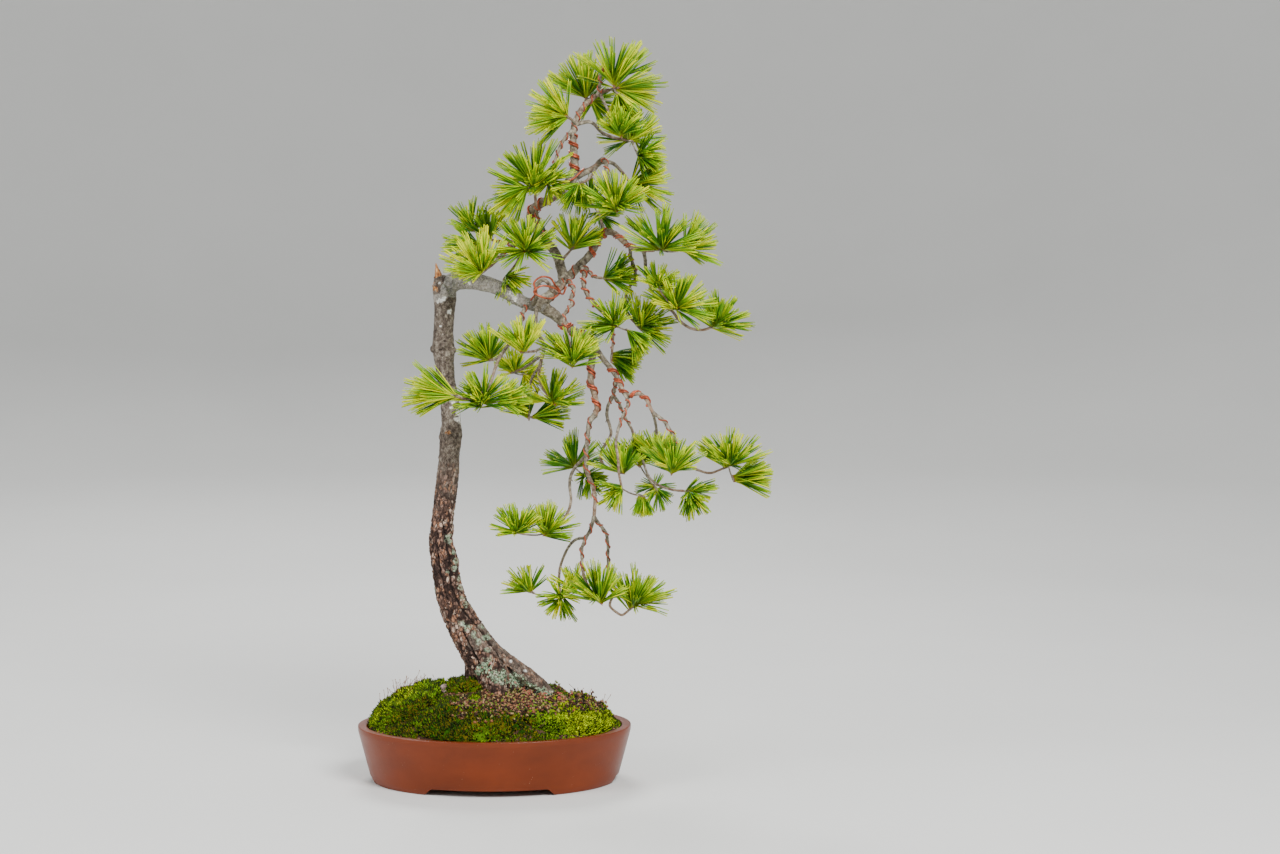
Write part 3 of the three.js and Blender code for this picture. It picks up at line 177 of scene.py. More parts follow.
LIMBS = {
    "arm": Route((11, 5.8), [
        (444, 298, 0), (449, 286, -1), (457, 281, -2), (467, 280.5, -3), (481, 282.5, -5),
        (497, 287.5, -7), (511, 295, -8), (524, 302.5, -8), (537, 306, -6), (547, 309, -4),
    ]),
    "bough": Route((6, 2.1), [
        (536, 306, -6), (547, 298, -2), (556, 289, 2), (564, 281, 5), (572, 273, 7), (580, 265, 7),
        (588, 257, 6), (593, 250, 5), (597, 242, 3), (602, 235, 0), (608, 232, -4), (615, 234, -9),
        (623, 241, -15), (631, 247, -21), (643, 250, -28), (654, 250, -34),
    ]),
    "leader": Route((5.2, 4.8), [
        (565, 280, 5), (561, 268, 12), (558, 258, 16), (553, 249, 18), (546, 241, 18),
        (538, 232, 16), (532, 222, 12), (531, 213, 8), (537, 206, 5), (548, 200, 3), (559, 192, 2),
        (567, 184, 1), (573, 177, 0),
    ]),
    "crown_arm": Route((4.2, 2.8), [(571, 179, 0), (583, 173, 0), (592, 169, 1), (599, 163, 2)]),
    "top": Route((4.8, 1.9), [
        (571, 181, 0), (574, 170, -1), (574, 155, -2), (573, 140, -2), (574, 127, -1),
        (577, 117, 1), (583, 107, 4), (592, 99, 6), (602, 92, 5), (609, 90, 3),
    ]),
    "crown_loop": Route((1.8, 1.3), [
        (598, 95, 3), (600, 84, -4), (601, 74, -8), (605, 67.5, -8), (610, 71, -6), (612, 78, -6),
    ]),
    "top_left": Route((2, 1.4), [
        (572, 131, -2), (565, 138, -6), (560, 147, -9), (556, 158, -10), (552, 170, -11),
        (550, 177, -13),
    ]),
    "top_front": Route((1.9, 1.5), [(575, 125, 0), (572, 120, -14), (569, 118, -24)]),
    "top_back": Route((1.8, 1.4), [(584, 106, 4), (585, 102, 12), (586, 99, 20)]),
    "top_right": Route((2.2, 1.4), [
        (576, 124, 0), (583, 122.5, 2), (590, 122, 5), (595, 125, 8), (601, 132, 12),
        (612, 137, 18), (626, 140, 24),
    ]),
    "top_drop": Route((1.7, 1.3), [
        (600, 94, 5), (605, 104, -8), (609, 113, -16), (611, 123, -20), (616, 130, -22),
    ]),
    "crown_front": Route((2.6, 1.5), [
        (598, 164, 2), (603, 159, -3), (606, 164, -8), (607, 175, -12), (610, 190, -20),
        (614, 203, -28),
    ]),
    "crown_right": Route((2.4, 1.5), [
        (599, 162, 2), (612, 163, 8), (622, 172, 16), (629, 181, 20),
    ]),
    "crown_drop": Route((1.9, 1.4), [
        (596, 167, 1), (592, 175, -10), (586, 181, -16), (583, 182, -20),
    ]),
    "nest": Route((1.9, 1.4), [(604, 233, -2), (602, 225, 8), (600, 217, 14)]),
    "white_twig": Route((2, 1.5), [
        (548, 243, 18), (544, 230, 8), (538, 218, -4), (536, 205, -12), (535, 193, -16),
    ]),
    "left_bough": Route((3.2, 1.6), [
        (534, 226, 14), (524, 236, 8), (513, 245, -2), (503, 254, -12), (494, 263, -20),
        (488, 268, -24),
    ]),
    "left_upper": Route((2.2, 1.5), [(515, 243, 0), (502, 243, 14), (492, 240, 22)]),
    "star_twig": Route((2, 1.5), [
        (546, 241, 18), (538, 246, 2), (532, 249, -10), (529, 250, -15),
    ]),
    "arm_twig": Route((1.9, 1.4), [(521, 238, 6), (521, 252, 4), (516, 264, 0), (508, 274, -4)]),
    "vee_twig": Route((1.9, 1.4), [(560, 266, 13), (564, 258, 0), (570, 251, -8)]),
    "shelf_twig": Route((2, 1.4), [
        (582, 263, 7), (588, 271, -2), (595, 277, -9), (602, 278, -13),
    ]),
    "right_drop": Route((2.6, 1.6), [
        (580, 265, 7), (584, 273, -6), (583, 283, -12), (587, 294, -15), (593, 303, -18),
        (602, 312, -21), (610, 320, -22),
    ]),
    "right_low": Route((1.5, 1.3), [
        (609, 319, -22), (613, 329, -16), (613, 341, -12), (612, 352, -12),
    ]),
    "right_shelf": Route((1.9, 1.4), [
        (630, 246.5, -20), (631, 258, -12), (635, 270, -6), (635, 279, -4), (628, 289, -2),
        (625, 300, 0), (626, 312, 0), (634, 322, -2),
    ]),
    "right_out": Route((2, 1.4), [
        (643, 250, -28), (645, 258, -20), (646, 270, -10), (650, 285, -4), (656, 298, -2),
        (664, 307, -2), (672, 311, -2), (679, 320, -2), (690, 328, -2), (702, 330, -2),
        (710, 328, -2),
    ]),
    "right_mid": Route((1.5, 1.4), [(664, 307, -2), (669, 309, -12), (673, 309, -18)]),
    "low_bough": Route((5.4, 2.8), [
        (545, 308, -4), (556, 316, -2), (566, 326, 0), (577, 333, 2), (588, 337, 3), (593, 345, 2),
        (592, 358, 0), (591, 372, -1), (591, 383, -1), (595, 396, -2), (597, 408, -3),
        (595, 416, -3),
    ]),
    "low_fall": Route((2.7, 1.9), [
        (595, 415, -3), (590, 421, -3), (588, 431, -3), (587, 443, -3), (586, 458, -2),
        (587, 472, -2), (592, 484, -2), (595, 498, -3), (594.5, 510, -3), (594, 519, -3),
    ]),
    "tail_mid": Route((1.9, 1.5), [
        (594, 517, -3), (591, 528, -5), (586, 538, -8), (582, 548, -10), (582, 560, -11),
        (583, 572, -12), (588, 586, -15), (596, 597, -18),
    ]),
    "tail_right": Route((1.8, 1.4), [
        (594, 517, -3), (600, 525, 3), (606, 533, 8), (608, 545, 12), (608, 558, 14),
        (609, 570, 14), (613, 583, 12), (615, 592, 8), (611, 600, 4), (610, 606, 1), (616, 612, 0),
        (622, 615, 0), (628, 611, 0),
    ]),
    "tail_left": Route((1.7, 1.4), [
        (586, 538, -8), (577, 539, 0), (570, 545, 8), (564, 556, 14), (560, 568, 16),
        (559, 582, 12), (560, 592, 6),
    ]),
    "hang_left": Route((1.9, 1.4), [
        (586, 456, -2), (580, 462, 10), (574, 469, 16), (570, 479, 14), (570, 490, 10),
        (571, 500, 6), (568, 512, 2), (560, 523, -2), (551, 530, -5),
    ]),
    "hang_top": Route((1.6, 1.4), [(581, 461, 8), (578, 464, 16), (576, 466, 22)]),
    "fall": Route((3.3, 1.8), [
        (593, 344, 2), (598, 352, -3), (604, 360, -8), (611, 369, -12), (617, 378, -16),
        (621, 387, -19), (625, 394, -22), (632, 394.5, -24), (640, 394, -26), (646, 399, -28),
        (650, 407, -30), (654, 415, -32),
    ]),
    "fall_out": Route((1.8, 1.3), [
        (653, 413, -32), (663, 420, -32), (670, 430, -32), (676, 441, -32), (680, 453, -30),
        (686, 463, -28), (698, 470, -26), (710, 473, -24), (722, 469, -22),
    ]),
    "fall_inner": Route((1.6, 1.3), [
        (653, 413, -32), (656, 426, -20), (657, 440, -10), (657, 456, -4),
    ]),
    "fall_front": Route((1.5, 1.3), [(678, 449, -31), (677, 460, -40), (674, 468, -46)]),
    "fall_left": Route((2.1, 1.4), [
        (617, 378, -16), (615, 387, -8), (613, 396, -2), (608, 406, 4), (607, 416, 8),
        (610, 427, 8), (611, 434, 6), (607, 442, 4), (602, 450, 4), (601, 460, 4), (607, 468, 2),
        (615, 471, 0),
    ]),
    "fall_mid": Route((1.7, 1.4), [
        (613, 396, -2), (618, 401, 8), (622, 410, 16), (626, 419, 20), (632, 430, 22),
        (636, 445, 20), (638, 458, 16),
    ]),
    "fall_low": Route((1.4, 1.3), [
        (634, 437, 21), (640, 449, 10), (644, 464, 2), (648, 475, -2), (655, 483, -6),
        (663, 487, -12), (674, 490, -20), (684, 491, -26),
    ]),
    "fall_back": Route((1.8, 1.3), [
        (625, 394, -22), (628, 402, -30), (626, 410, -36), (622, 418, -40), (618, 430, -44),
        (616, 443, -46), (618, 458, -44), (619, 474, -40), (621, 484, -38),
    ]),
    "inner_left": Route((2.2, 1.5), [
        (528, 304, -8), (523, 312, -18), (521, 323, -22), (518, 332, -24), (511, 342, -28),
        (504, 351, -31), (498, 361, -36), (494, 372, -42), (490, 385, -48), (485, 397, -52),
    ]),
    "inner_left_back": Route((1.6, 1.4), [(501, 356, -33), (496, 359, -20), (491, 360, -10)]),
    "inner_left_far": Route((1.6, 1.4), [
        (490, 384, -48), (478, 396, -58), (466, 399, -64), (458, 397, -68),
    ]),
    "inner_right": Route((2.3, 1.5), [
        (537, 306, -6), (536, 316, -18), (536, 327, -20), (540, 337, -18), (544, 345, -14),
        (543, 354, -10), (540, 366, -4), (539, 378, 0), (543, 388, 2), (549, 397, 2),
    ]),
    "inner_right_front": Route((1.6, 1.4), [(544, 347, -13), (535, 351, -24), (527, 352, -32)]),
    "inner_right_back": Route((1.6, 1.4), [
        (543, 354, -10), (534, 361, 6), (524, 368, 18), (517, 371, 24),
    ]),
    "inner_right_low": Route((1.6, 1.4), [
        (540, 366, -4), (533, 376, 8), (529, 390, 16), (529, 404, 18), (529, 412, 18),
    ]),
    "wired_twig": Route((2.2, 1.5), [
        (569, 277, 6), (570, 284, -8), (574, 290, -14), (571, 298, -17), (572, 304, -20),
        (567, 310, -23), (564, 317, -26), (566, 332, -30), (570, 346, -33), (571, 355, -34),
    ]),
    "pigtail": Route((2.4, 1.8), [
        (533, 305, -8), (536, 297, -20), (536, 286, -24), (543, 280, -25), (549, 284, -24),
        (552, 291, -22), (558, 291, -14), (564, 284, 0),
    ]),
}

# Tufts of needles: the way they point, reach in millimetres, spread in degrees, the size of their twig
# end, and the spot of a further tuft of the same spray
SPRAYS = {
    "crown_loop": [Tuft((0.15, -0.1, 1), 54, 52, "m")],
    "top": [
        Tuft((0.75, 0.5, 0.05), 56, 34, "m"),
        Tuft((0.35, -0.35, -1), 38, 42, "s", at=(617, 93, -14)),
    ],
    "top_front": [Tuft((-1, -0.3, 0.2), 48, 62, "l")],
    "top_back": [
        Tuft((-0.35, 0.1, 1), 52, 58, "l"),
        Tuft((0.5, 0.7, -0.25), 36, 60, "s", at=(592, 101, 28)),
    ],
    "top_left": [Tuft((0.05, -0.8, -0.1), 32, 80, "m")],
    "top_right": [
        Tuft((-0.1, 0.3, 0.7), 42, 85, "l"),
        Tuft((0.8, -0.3, -0.1), 34, 70, "m", at=(638, 155, 18)),
    ],
    "top_drop": [Tuft((0.1, -0.35, 1), 34, 65, "m")],
    "crown_front": [Tuft((0, -0.5, 1), 44, 82, "l")],
    "crown_right": [Tuft((1, 0.25, 0.1), 46, 62, "m")],
    "crown_drop": [Tuft((-0.35, -0.35, -0.9), 36, 52, "s")],
    "nest": [
        Tuft((0.35, 0.35, -0.1), 28, 75, "s"),
        Tuft((-0.4, 0.5, 0.8), 30, 65, "s", at=(592, 203, 20)),
    ],
    "white_twig": [
        Tuft((-0.45, -0.3, 0.9), 52, 75, "l"),
        Tuft((-0.85, -0.3, -0.55), 46, 48, "s", at=(526, 188, -24)),
    ],
    "left_bough": [Tuft((-0.5, -0.4, 0.85), 47, 68, "l")],
    "left_upper": [
        Tuft((-0.1, 0.1, 1), 36, 45, "s"),
        Tuft((-1, 0.1, 0.05), 44, 42, "s", at=(481, 246, 14)),
        Tuft((-0.35, 0.3, 1), 36, 65, "s", at=(473, 230, 34)),
    ],
    "star_twig": [Tuft((0, -0.55, 0.6), 44, 85, "l")],
    "arm_twig": [Tuft((0.55, -0.2, -0.5), 32, 75, "s")],
    "vee_twig": [Tuft((0.35, -0.2, 1), 42, 55, "m")],
    "shelf_twig": [Tuft((1, -0.2, 0.25), 36, 50, "m")],
    "right_drop": [
        Tuft((-0.55, -0.35, 0.7), 38, 80, "m"),
        Tuft((0.65, -0.35, -0.75), 34, 40, "s", at=(630, 331, -26)),
    ],
    "right_low": [Tuft((1, -0.1, -0.3), 36, 42, "m")],
    "right_shelf": [Tuft((0.55, -0.1, 0.5), 42, 80, "l")],
    "bough": [
        Tuft((0.1, -0.35, 1), 50, 78, "l"),
        Tuft((0.85, 0.2, 0.45), 44, 55, "m", at=(682, 250, -22)),
    ],
    "right_mid": [
        Tuft((0.4, -0.4, 0.85), 46, 80, "l"),
        Tuft((0, -0.35, 1), 28, 75, "s", at=(657, 286, -30)),
    ],
    "right_out": [Tuft((0.4, -0.15, 0.9), 40, 78, "l")],
    "inner_left": [
        Tuft((-0.05, -0.35, 0.9), 40, 84, "l"),
        Tuft((0.8, 0.2, 0.35), 34, 48, "s", at=(499, 401, -44)),
    ],
    "inner_left_back": [Tuft((-0.4, 0.3, 1), 42, 65, "l")],
    "inner_left_far": [Tuft((-1, -0.25, 0.16), 50, 37, "l")],
    "inner_right": [Tuft((0.2, -0.1, 0.8), 40, 86, "m")],
    "inner_right_front": [Tuft((-0.05, -0.3, 1), 42, 52, "m")],
    "inner_right_back": [
        Tuft((0, 0.3, 1), 28, 72, "m"),
        Tuft((0.6, 0.1, -0.3), 26, 75, "s", at=(526, 375, 27)),
    ],
    "inner_right_low": [
        Tuft((-0.6, 0.2, 0.8), 40, 42, "s"),
        Tuft((0.95, 0.25, 0.3), 42, 36, "s", at=(534, 418, 20)),
    ],
    "wired_twig": [Tuft((0, -0.3, 1), 42, 70, "l")],
    "hang_top": [
        Tuft((-0.25, 0.35, 1), 42, 75, "m"),
        Tuft((0.6, -0.7, -0.4), 28, 75, "s", at=(586, 476, 27)),
    ],
    "hang_left": [
        Tuft((0.35, -0.2, 1), 36, 65, "m"),
        Tuft((-0.05, -0.3, 1), 36, 78, "m", at=(517, 533, -16)),
    ],
    "fall_left": [Tuft((-0.15, -0.2, 1), 38, 58, "m")],
    "fall_back": [
        Tuft((-0.75, -0.4, -0.35), 30, 62, "s"),
        Tuft((0.15, -0.1, -1), 22, 28, "s", at=(642, 496, -30)),
    ],
    "fall_mid": [
        Tuft((0.15, 0.1, 1), 40, 60, "m"),
        Tuft((-0.1, 0.8, -0.5), 26, 75, "s", at=(656, 488, 16)),
    ],
    "fall_low": [Tuft((0.5, -0.35, -0.5), 34, 75, "m")],
    "fall_inner": [Tuft((0, 0.4, 1), 36, 55, "m")],
    "fall_front": [Tuft((-0.05, -0.3, 1), 42, 62, "m")],
    "fall_out": [
        Tuft((0, -0.2, 1), 46, 74, "l"),
        Tuft((1, 0.1, 0.2), 44, 36, "m", at=(733, 479, -12)),
    ],
    "tail_left": [
        Tuft((0.05, -0.9, 0.1), 30, 84, "m"),
        Tuft((-0.5, 0.1, 0.85), 34, 62, "s", at=(530, 592, 16)),
        Tuft((-0.1, 0.5, 1), 30, 70, "s", at=(574, 590, 10)),
    ],
    "tail_mid": [Tuft((-0.1, -0.35, 1), 46, 60, "m")],
    "tail_right": [Tuft((0.35, -0.2, 0.9), 46, 68, "l")],
}

# Half length in millimetres of the twig end that the needles grow on, and its number of bundles
CORES = {"s": (5, 23), "m": (6, 33), "l": (7.5, 47)}

# Sprays that are greener than most, below 0, or yellower, above 0
TONES = {
    "nest": -0.3, "shelf_twig": -0.28, "hang_top": -0.2, "inner_right_low": -0.22, "right_low": -0.15,
    "crown_drop": -0.2, "fall_low": -0.12, "top_right": -0.08, "inner_right_front": 0.2,
    "inner_right_back": 0.22, "left_bough": 0.12, "inner_left_far": 0.08, "tail_left": 0.14,
    "fall_inner": 0.1, "fall_mid": -0.05,
}

# Coils of wire: the limb, the shares of its length where they start and stop, and a turn's rise in
# millimetres
WIRES = {
    "wire_bough": Coil("bough", 0.44, 0.62, 13),
    "wire_leader": Coil("leader", 0.56, 0.93, 13),
    "wire_top": Coil("top", 0.1, 0.42, 12),
    "wire_low_bough": Coil("low_bough", 0.16, 0.42, 15),
    "wire_low_fall": Coil("low_bough", 0.6, 0.97, 18),
    "wire_fall": Coil("fall", 0.3, 0.9, 14),
    "wire_right_drop": Coil("right_drop", 0.15, 0.8, 12),
}
FINE_WIRES = {
    "wire_left_bough": Coil("left_bough", 0.1, 0.8, 11),
    "wire_white_twig": Coil("white_twig", 0.05, 0.8, 12),
    "wire_crown_front": Coil("crown_front", 0.1, 0.5, 11),
    "wire_wired_twig": Coil("wired_twig", 0.08, 0.75, 11),
    "wire_right_low": Coil("right_low", 0.1, 0.9, 10),
    "wire_shelf_twig": Coil("shelf_twig", 0.1, 0.8, 10),
    "wire_fall_left": Coil("fall_left", 0.05, 0.3, 12),
    "wire_bough_low": Coil("bough", 0.08, 0.36, 17),
    "wire_crown_loop": Coil("crown_loop", 0.05, 0.9, 12),
    "wire_top_left": Coil("top_left", 0.05, 0.8, 12),
    "wire_top_upper": Coil("top", 0.45, 0.95, 13),
    "wire_left_upper": Coil("left_upper", 0.1, 0.8, 12),
    "wire_fall_mid": Coil("fall_mid", 0.1, 0.6, 15),
    "wire_fall_back": Coil("fall_back", 0.05, 0.45, 14),
    "wire_fall_out": Coil("fall_out", 0.05, 0.5, 14),
    "wire_low_end": Coil("low_fall", 0.02, 0.9, 17),
    "wire_tail_mid": Coil("tail_mid", 0.05, 0.7, 15),
    "wire_tail_right": Coil("tail_right", 0.03, 0.5, 15),
    "wire_inner_left": Coil("inner_left", 0.02, 0.4, 13),
    "wire_right_shelf": Coil("right_shelf", 0.1, 0.5, 13),
    "wire_bough_end": Coil("bough", 0.67, 0.86, 19),
}
# Wires of two strands side by side
TWINS = ("wire_fall", "wire_low_bough", "wire_low_fall", "wire_bough_end", "wire_bough", "wire_top")

# Thick wires that run free of the limbs
LOOSE_WIRES = {
    "wire_knot": [
        (531, 300, -13), (536, 291, -30), (534, 283, -32), (541, 277, -34), (550, 278, -32),
        (555, 285, -27), (560, 292, -22), (553, 298, -26), (542, 297, -34), (534, 292, -36),
        (541, 286, -38), (554, 288, -32), (563, 294, -16), (566, 287, -10),
    ],
    "wire_crossing": [
        (556, 182, 5), (556, 184, -1), (560, 183, -6.5), (567, 181.5, -7), (573.5, 178.5, -7),
        (578, 174.5, -6), (582, 170.5, -3), (584, 168.5, 2),
    ],
}

# Moss cushions: the middle and half the length in degrees round the pot, the inner and outer edge as
# shares of the soil's half width, and the height in millimetres
MOSS = {
    "moss_left": Cushion(176, 46, 0.42, 0.985, 14),
    "moss_front": Cushion(256, 31, 0.62, 0.985, 10),
    "moss_right": Cushion(330, 40, 0.58, 0.98, 11),
    "moss_back": Cushion(84, 43, 0.56, 0.98, 11),
}
MOSS_RIDGE = Cushion(184, 58, 0.08, 0.39, 10)

# Millimetres right and away from the pot's middle, then how bright the moss is there from 0 to 1
# The brightness is partly the moss's own tones, partly painted light and shade
MOSS_ZONES = [
    (-34, 0, 0.55),
    (-96, -22, 0.9), (-120, 0, 0.8), (-80, 20, 0.8), (-76, -62, 0.33), (-98, -52, 0.36),
    (-37, -86, 0.2), (1, -88, 0.12), (41, -85, 0.2), (0, -101, 0.6), (48, -74, 0.8),
    (90, -57, 1.0), (118, -25, 0.95), (129, -3, 0.8), (60, 60, 0.5), (-30, 80, 0.45),
    (-28, -6, 0.2), (-19, -39, 0.55),
]

# Where dry litter lies on the moss cushions: pixels across and down, and half width in pixels
BARE_MOSS = [
    (462, 703, 10), (479, 702, 14), (496, 703, 16), (514, 704, 18), (532, 704, 18), (549, 701, 16),
    (566, 699, 15), (582, 701, 12), (596, 704, 8), (462, 713, 6), (540, 692, 14), (560, 690, 12),
]

# Where the litter is pinkish red: pixels across and down, and half width in pixels
PINK_LITTER = [(520, 689, 4), (528, 693, 5), (543, 695, 3), (478, 684, 3), (500, 687, 3), (560, 698, 3)]

# Spots of thin moss on the soil between the cushions: millimetres right and away, and half width
SOIL_MOSS = [(-28, -4, 17), (-19, -39, 11), (-52, -40, 22), (-60, 0, 26), (0, 50, 30), (70, 20, 16)]

# Groups of stalks: millimetres right and away, spread, number and height in millimetres
STALKS = [
    (-102, -2, 9, 26, 13), (-88, 8, 8, 14, 10), (92, -14, 5, 4, 9), (120, 6, 3, 4, 14), (42, 6, 4, 3, 8),
]

# Lines of pixels down the deep cracks of the trunk
FISSURES = [
    [
        (442, 520), (446, 540), (450, 559), (451, 586), (461, 607), (475, 623), (489, 641), (502, 661),
        (512, 673),
    ],
    [(436, 545), (440, 572), (447, 600)],
    [(463, 632), (472, 650), (480, 666)],
]

# Patches on the trunk: pixels across and down, and half width in pixels
LICHEN = [
    (449, 536, 3), (449, 541, 4), (454, 552, 3), (456, 561, 4), (455, 569, 3.5), (448, 572, 2),
    (459, 579, 3), (460, 587, 3), (463, 598, 3), (466, 604, 3), (462, 624, 3), (468, 628, 5),
    (473, 634, 4), (482, 627, 3), (486, 636, 4), (479, 641, 3), (487, 650, 3), (489, 659, 3.5),
    (481, 668, 4), (484, 663, 4), (494, 675, 6), (500, 678, 8), (515, 679, 7), (524, 683, 6),
    (533, 688, 8), (543, 692, 6), (552, 695, 4), (476, 672, 3),
]
PALE = [
    (458.5, 413, 4), (458, 420, 5), (452, 408, 2), (453, 402, 3.5), (455, 392, 3), (470, 283, 3),
    (448, 312, 3), (513.5, 294, 5), (514.5, 299, 5),
    (439.5, 283.5, 1.6), (443.5, 286, 1.5), (440, 301, 3), (444, 298, 2.5), (441, 326, 1.3),
    (511, 661, 1.6), (525, 671, 1.6),
]

TORN = [(435, 288, 3), (448, 433, 2.5)]

# The torn points of the dead stub at the trunk's top
SPLINTERS = [
    Route((8.0, 0.4), [(439.8, 288, 0), (438.8, 279, 0), (437.6, 272, 0), (435.8, 263.2, 0)]),
    Route((4.2, 0.5), [(441.2, 286, -3), (440.8, 279, -3), (439.4, 272.5, -2)]),
    Route((4.0, 0.6), [(437.2, 291, -3), (435.8, 284, -2), (435.4, 276, -1)]),
]

# Patches where the trunk's bark is darkened: pixels across and down, and half width in pixels
DARK = [(446, 279, 5), (452, 283, 5), (444, 288, 4), (451, 290, 4), (444.5, 341, 2), (441, 350, 3)]

# Stubs of old branches on the trunk: pixels across and down, a depth and a radius in millimetres
KNOBS = [
    (434, 349, 0, 4.6), (453, 350, -3, 4.4), (444, 345, -8, 4), (442, 437, 0, 3.6), (459, 436, 0, 4),
    (449, 434, -8, 3.8), (441, 457, -2, 3.4), (447, 281, -4, 6), (452, 284, -6, 5.5), (436, 287, -3, 4),
    (442, 287, -9, 3.5), (446, 290, -9, 3),
]

# Frilled lichen round the trunk's foot: pixels across and down, and half width and height in pixels
FRILLED = [
    (487, 669, 6, 5), (500, 678, 8, 6), (514, 682, 7, 6), (527, 686, 7, 5), (538, 691, 6, 4),
    (548, 694, 5, 3), (479, 671, 3, 3),
]

# A small stone beside the trunk: millimetres right and away from the pot's middle, and its radius
STONE = (-53, -6, 6.5)


# Shapes shared by the pieces
def placed(spot):
    """A spot of the picture as a place: pixels across and down, and a depth in millimetres"""
    across, down, depth = spot[:3]
    away = depth * DEPTH_SPREAD * MM
    right = (across - MIDDLE_ACROSS) / FOCAL_PIXELS
    up = (MIDDLE_DOWN - down) / FOCAL_PIXELS
    reach = (away - VIEW_POINT.y) / (math.cos(VIEW_TILT) + up * math.sin(VIEW_TILT))
    rise = reach * (up * math.cos(VIEW_TILT) - math.sin(VIEW_TILT))
    return POT_CENTRE + Vector((VIEW_POINT.x + reach * right, away, VIEW_POINT.z + rise))


def pictured(point):
    """The picture's pixels across and down where a place shows"""
    offset = point - POT_CENTRE - VIEW_POINT
    ahead = offset.y * math.cos(VIEW_TILT) - offset.z * math.sin(VIEW_TILT)
    above = offset.z * math.cos(VIEW_TILT) + offset.y * math.sin(VIEW_TILT)
    across = MIDDLE_ACROSS + FOCAL_PIXELS * offset.x / ahead
    return Vector((across, MIDDLE_DOWN - FOCAL_PIXELS * above / ahead))


def eased(value, low, high):
    """0 up to low, 1 from high on, and a smooth rise between them"""
    share = min(max((value - low) / (high - low), 0), 1)
    return share * share * (3 - 2 * share)


def curve_point(spots, share):
    """A point of the smooth curve through the spots, in the centripetal way"""
    place = share * (len(spots) - 1)
    k = min(int(place), len(spots) - 2)
    b, c = spots[k], spots[k + 1]
    a = spots[k - 1] if k else b * 2 - c
    d = spots[k + 2] if k + 2 < len(spots) else c * 2 - b
    ab, bc, cd = (math.sqrt((q - p).length) for p, q in ((a, b), (b, c), (c, d)))
    leave = ((b - a) / ab - (c - a) / (ab + bc)) * bc + c - b
    arrive = ((d - c) / cd - (d - b) / (bc + cd)) * bc + c - b
    t = place - k
    start = b * (2 * t**3 - 3 * t**2 + 1) + leave * (t**3 - 2 * t**2 + t)
    return start + c * (3 * t**2 - 2 * t**3) + arrive * (t**3 - t**2)


class Rod:
    """Points with a radius at each, and two directions across it that turn as little as they can"""

    def __init__(self, points, radii):
        self.points = points
        self.radii = radii
        self.normals = []
        self.across = []
        self.tangents = []
        normal = Vector((0.3, 1, 0.2))
        for i in range(len(points)):
            ahead = points[min(i + 1, len(points) - 1)]
            tangent = (ahead - points[max(i - 1, 0)]).normalized()
            normal = (normal - tangent * normal.dot(tangent)).normalized()
            self.tangents.append(tangent)
            self.normals.append(normal)
            self.across.append(normal.cross(tangent))

    def beside(self, share, turn, gap):
        """The place at a share of the rod's way, on the side that the turn gives, off its surface"""
        place = share * (len(self.points) - 1)
        k = min(int(place), len(self.points) - 2)
        part = place - k
        out = self.radii[k] * (1 - part) + self.radii[k + 1] * part + gap
        middle = self.points[k].lerp(self.points[k + 1], part)
        normal = self.normals[k].lerp(self.normals[k + 1], part).normalized()
        across = self.across[k].lerp(self.across[k + 1], part).normalized()
        return middle + (normal * math.cos(turn) + across * math.sin(turn)) * out


def grown(spots, radii, step):
    """A rod along a traced route, with its points an even step apart"""
    spots = [placed(spot) for spot in spots]
    shares = np.linspace(0, 1, 12 * (len(spots) - 1) + 1)
    dense = [curve_point(spots, share) for share in shares]
    lengths = np.cumsum([0] + [(b - a).length for a, b in zip(dense, dense[1:])])
    stations = np.linspace(0, lengths[-1], max(3, round(lengths[-1] / step)) + 1)
    places = np.interp(stations, lengths, shares)
    if len(radii) == 2:
        thickness = np.interp(stations, [0, lengths[-1]], radii)
    else:
        thickness = np.interp(places, np.linspace(0, 1, len(radii)), radii)
    return Rod([curve_point(spots, place) for place in places], list(thickness * MM))


def add_tube(shape, rod, sides, relief=None, layer=None, tip=0.5):
    """A closed round skin over a rod. Relief is added to its radius, and the layer keeps the way along"""
    rings = []
    for end, inward in ((0, 1), (-1, -2)):
        out = (rod.points[end] - rod.points[inward]).normalized() * rod.radii[end] * tip
        rings.append([(end, out * 0.7, 0.7), (end, out, 0)])
    rings = rings[0][::-1] + [(i, Vector(), 1) for i in range(len(rod.points))] + rings[1]
    last = len(rings) - 1
    made = bmesh.ops.create_grid(shape, x_segments=last, y_segments=sides, size=1)["verts"]
    for vert in made:
        ring = round((vert.co.x + 1) / 2 * last)
        turn = (vert.co.y + 1) * math.pi
        i, shift, share = rings[ring]
        side = rod.normals[i] * math.cos(turn) + rod.across[i] * math.sin(turn)
        out = rod.radii[i]
        if relief:
            out += relief(rod.points[i] + side * out, rod.radii[i])
        vert.co = rod.points[i] + shift + side * out * share
        if layer:
            vert[layer] = max(min((ring - 2) / (last - 4), 1), 0)
    bmesh.ops.remove_doubles(shape, verts=made, dist=1e-6)


def mesh_of(name, shape):
    """A mesh from a shape, which is done with"""
    mesh = bpy.data.meshes.new(name)
    shape.to_mesh(mesh)
    shape.free()
    return mesh


def shown(name, mesh, finishes):
    """A smooth object in its materials"""
    for finish in finishes:
        mesh.materials.append(finish)
    mesh.shade_smooth()
    thing = bpy.data.objects.new(name, mesh)
    bpy.context.scene.collection.objects.link(thing)
    return thing


def finished(name, shape, finishes, replaced=()):
    """A piece of the part: smooth, in its materials, riding on it and in the place of its plain solids"""
    shape.normal_update()
    bmesh.ops.recalc_face_normals(shape, faces=shape.faces)
    piece = shown(name, mesh_of(name, shape), finishes)
    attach(piece, "root")
    if replaced:
        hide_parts(*replaced)
    return piece


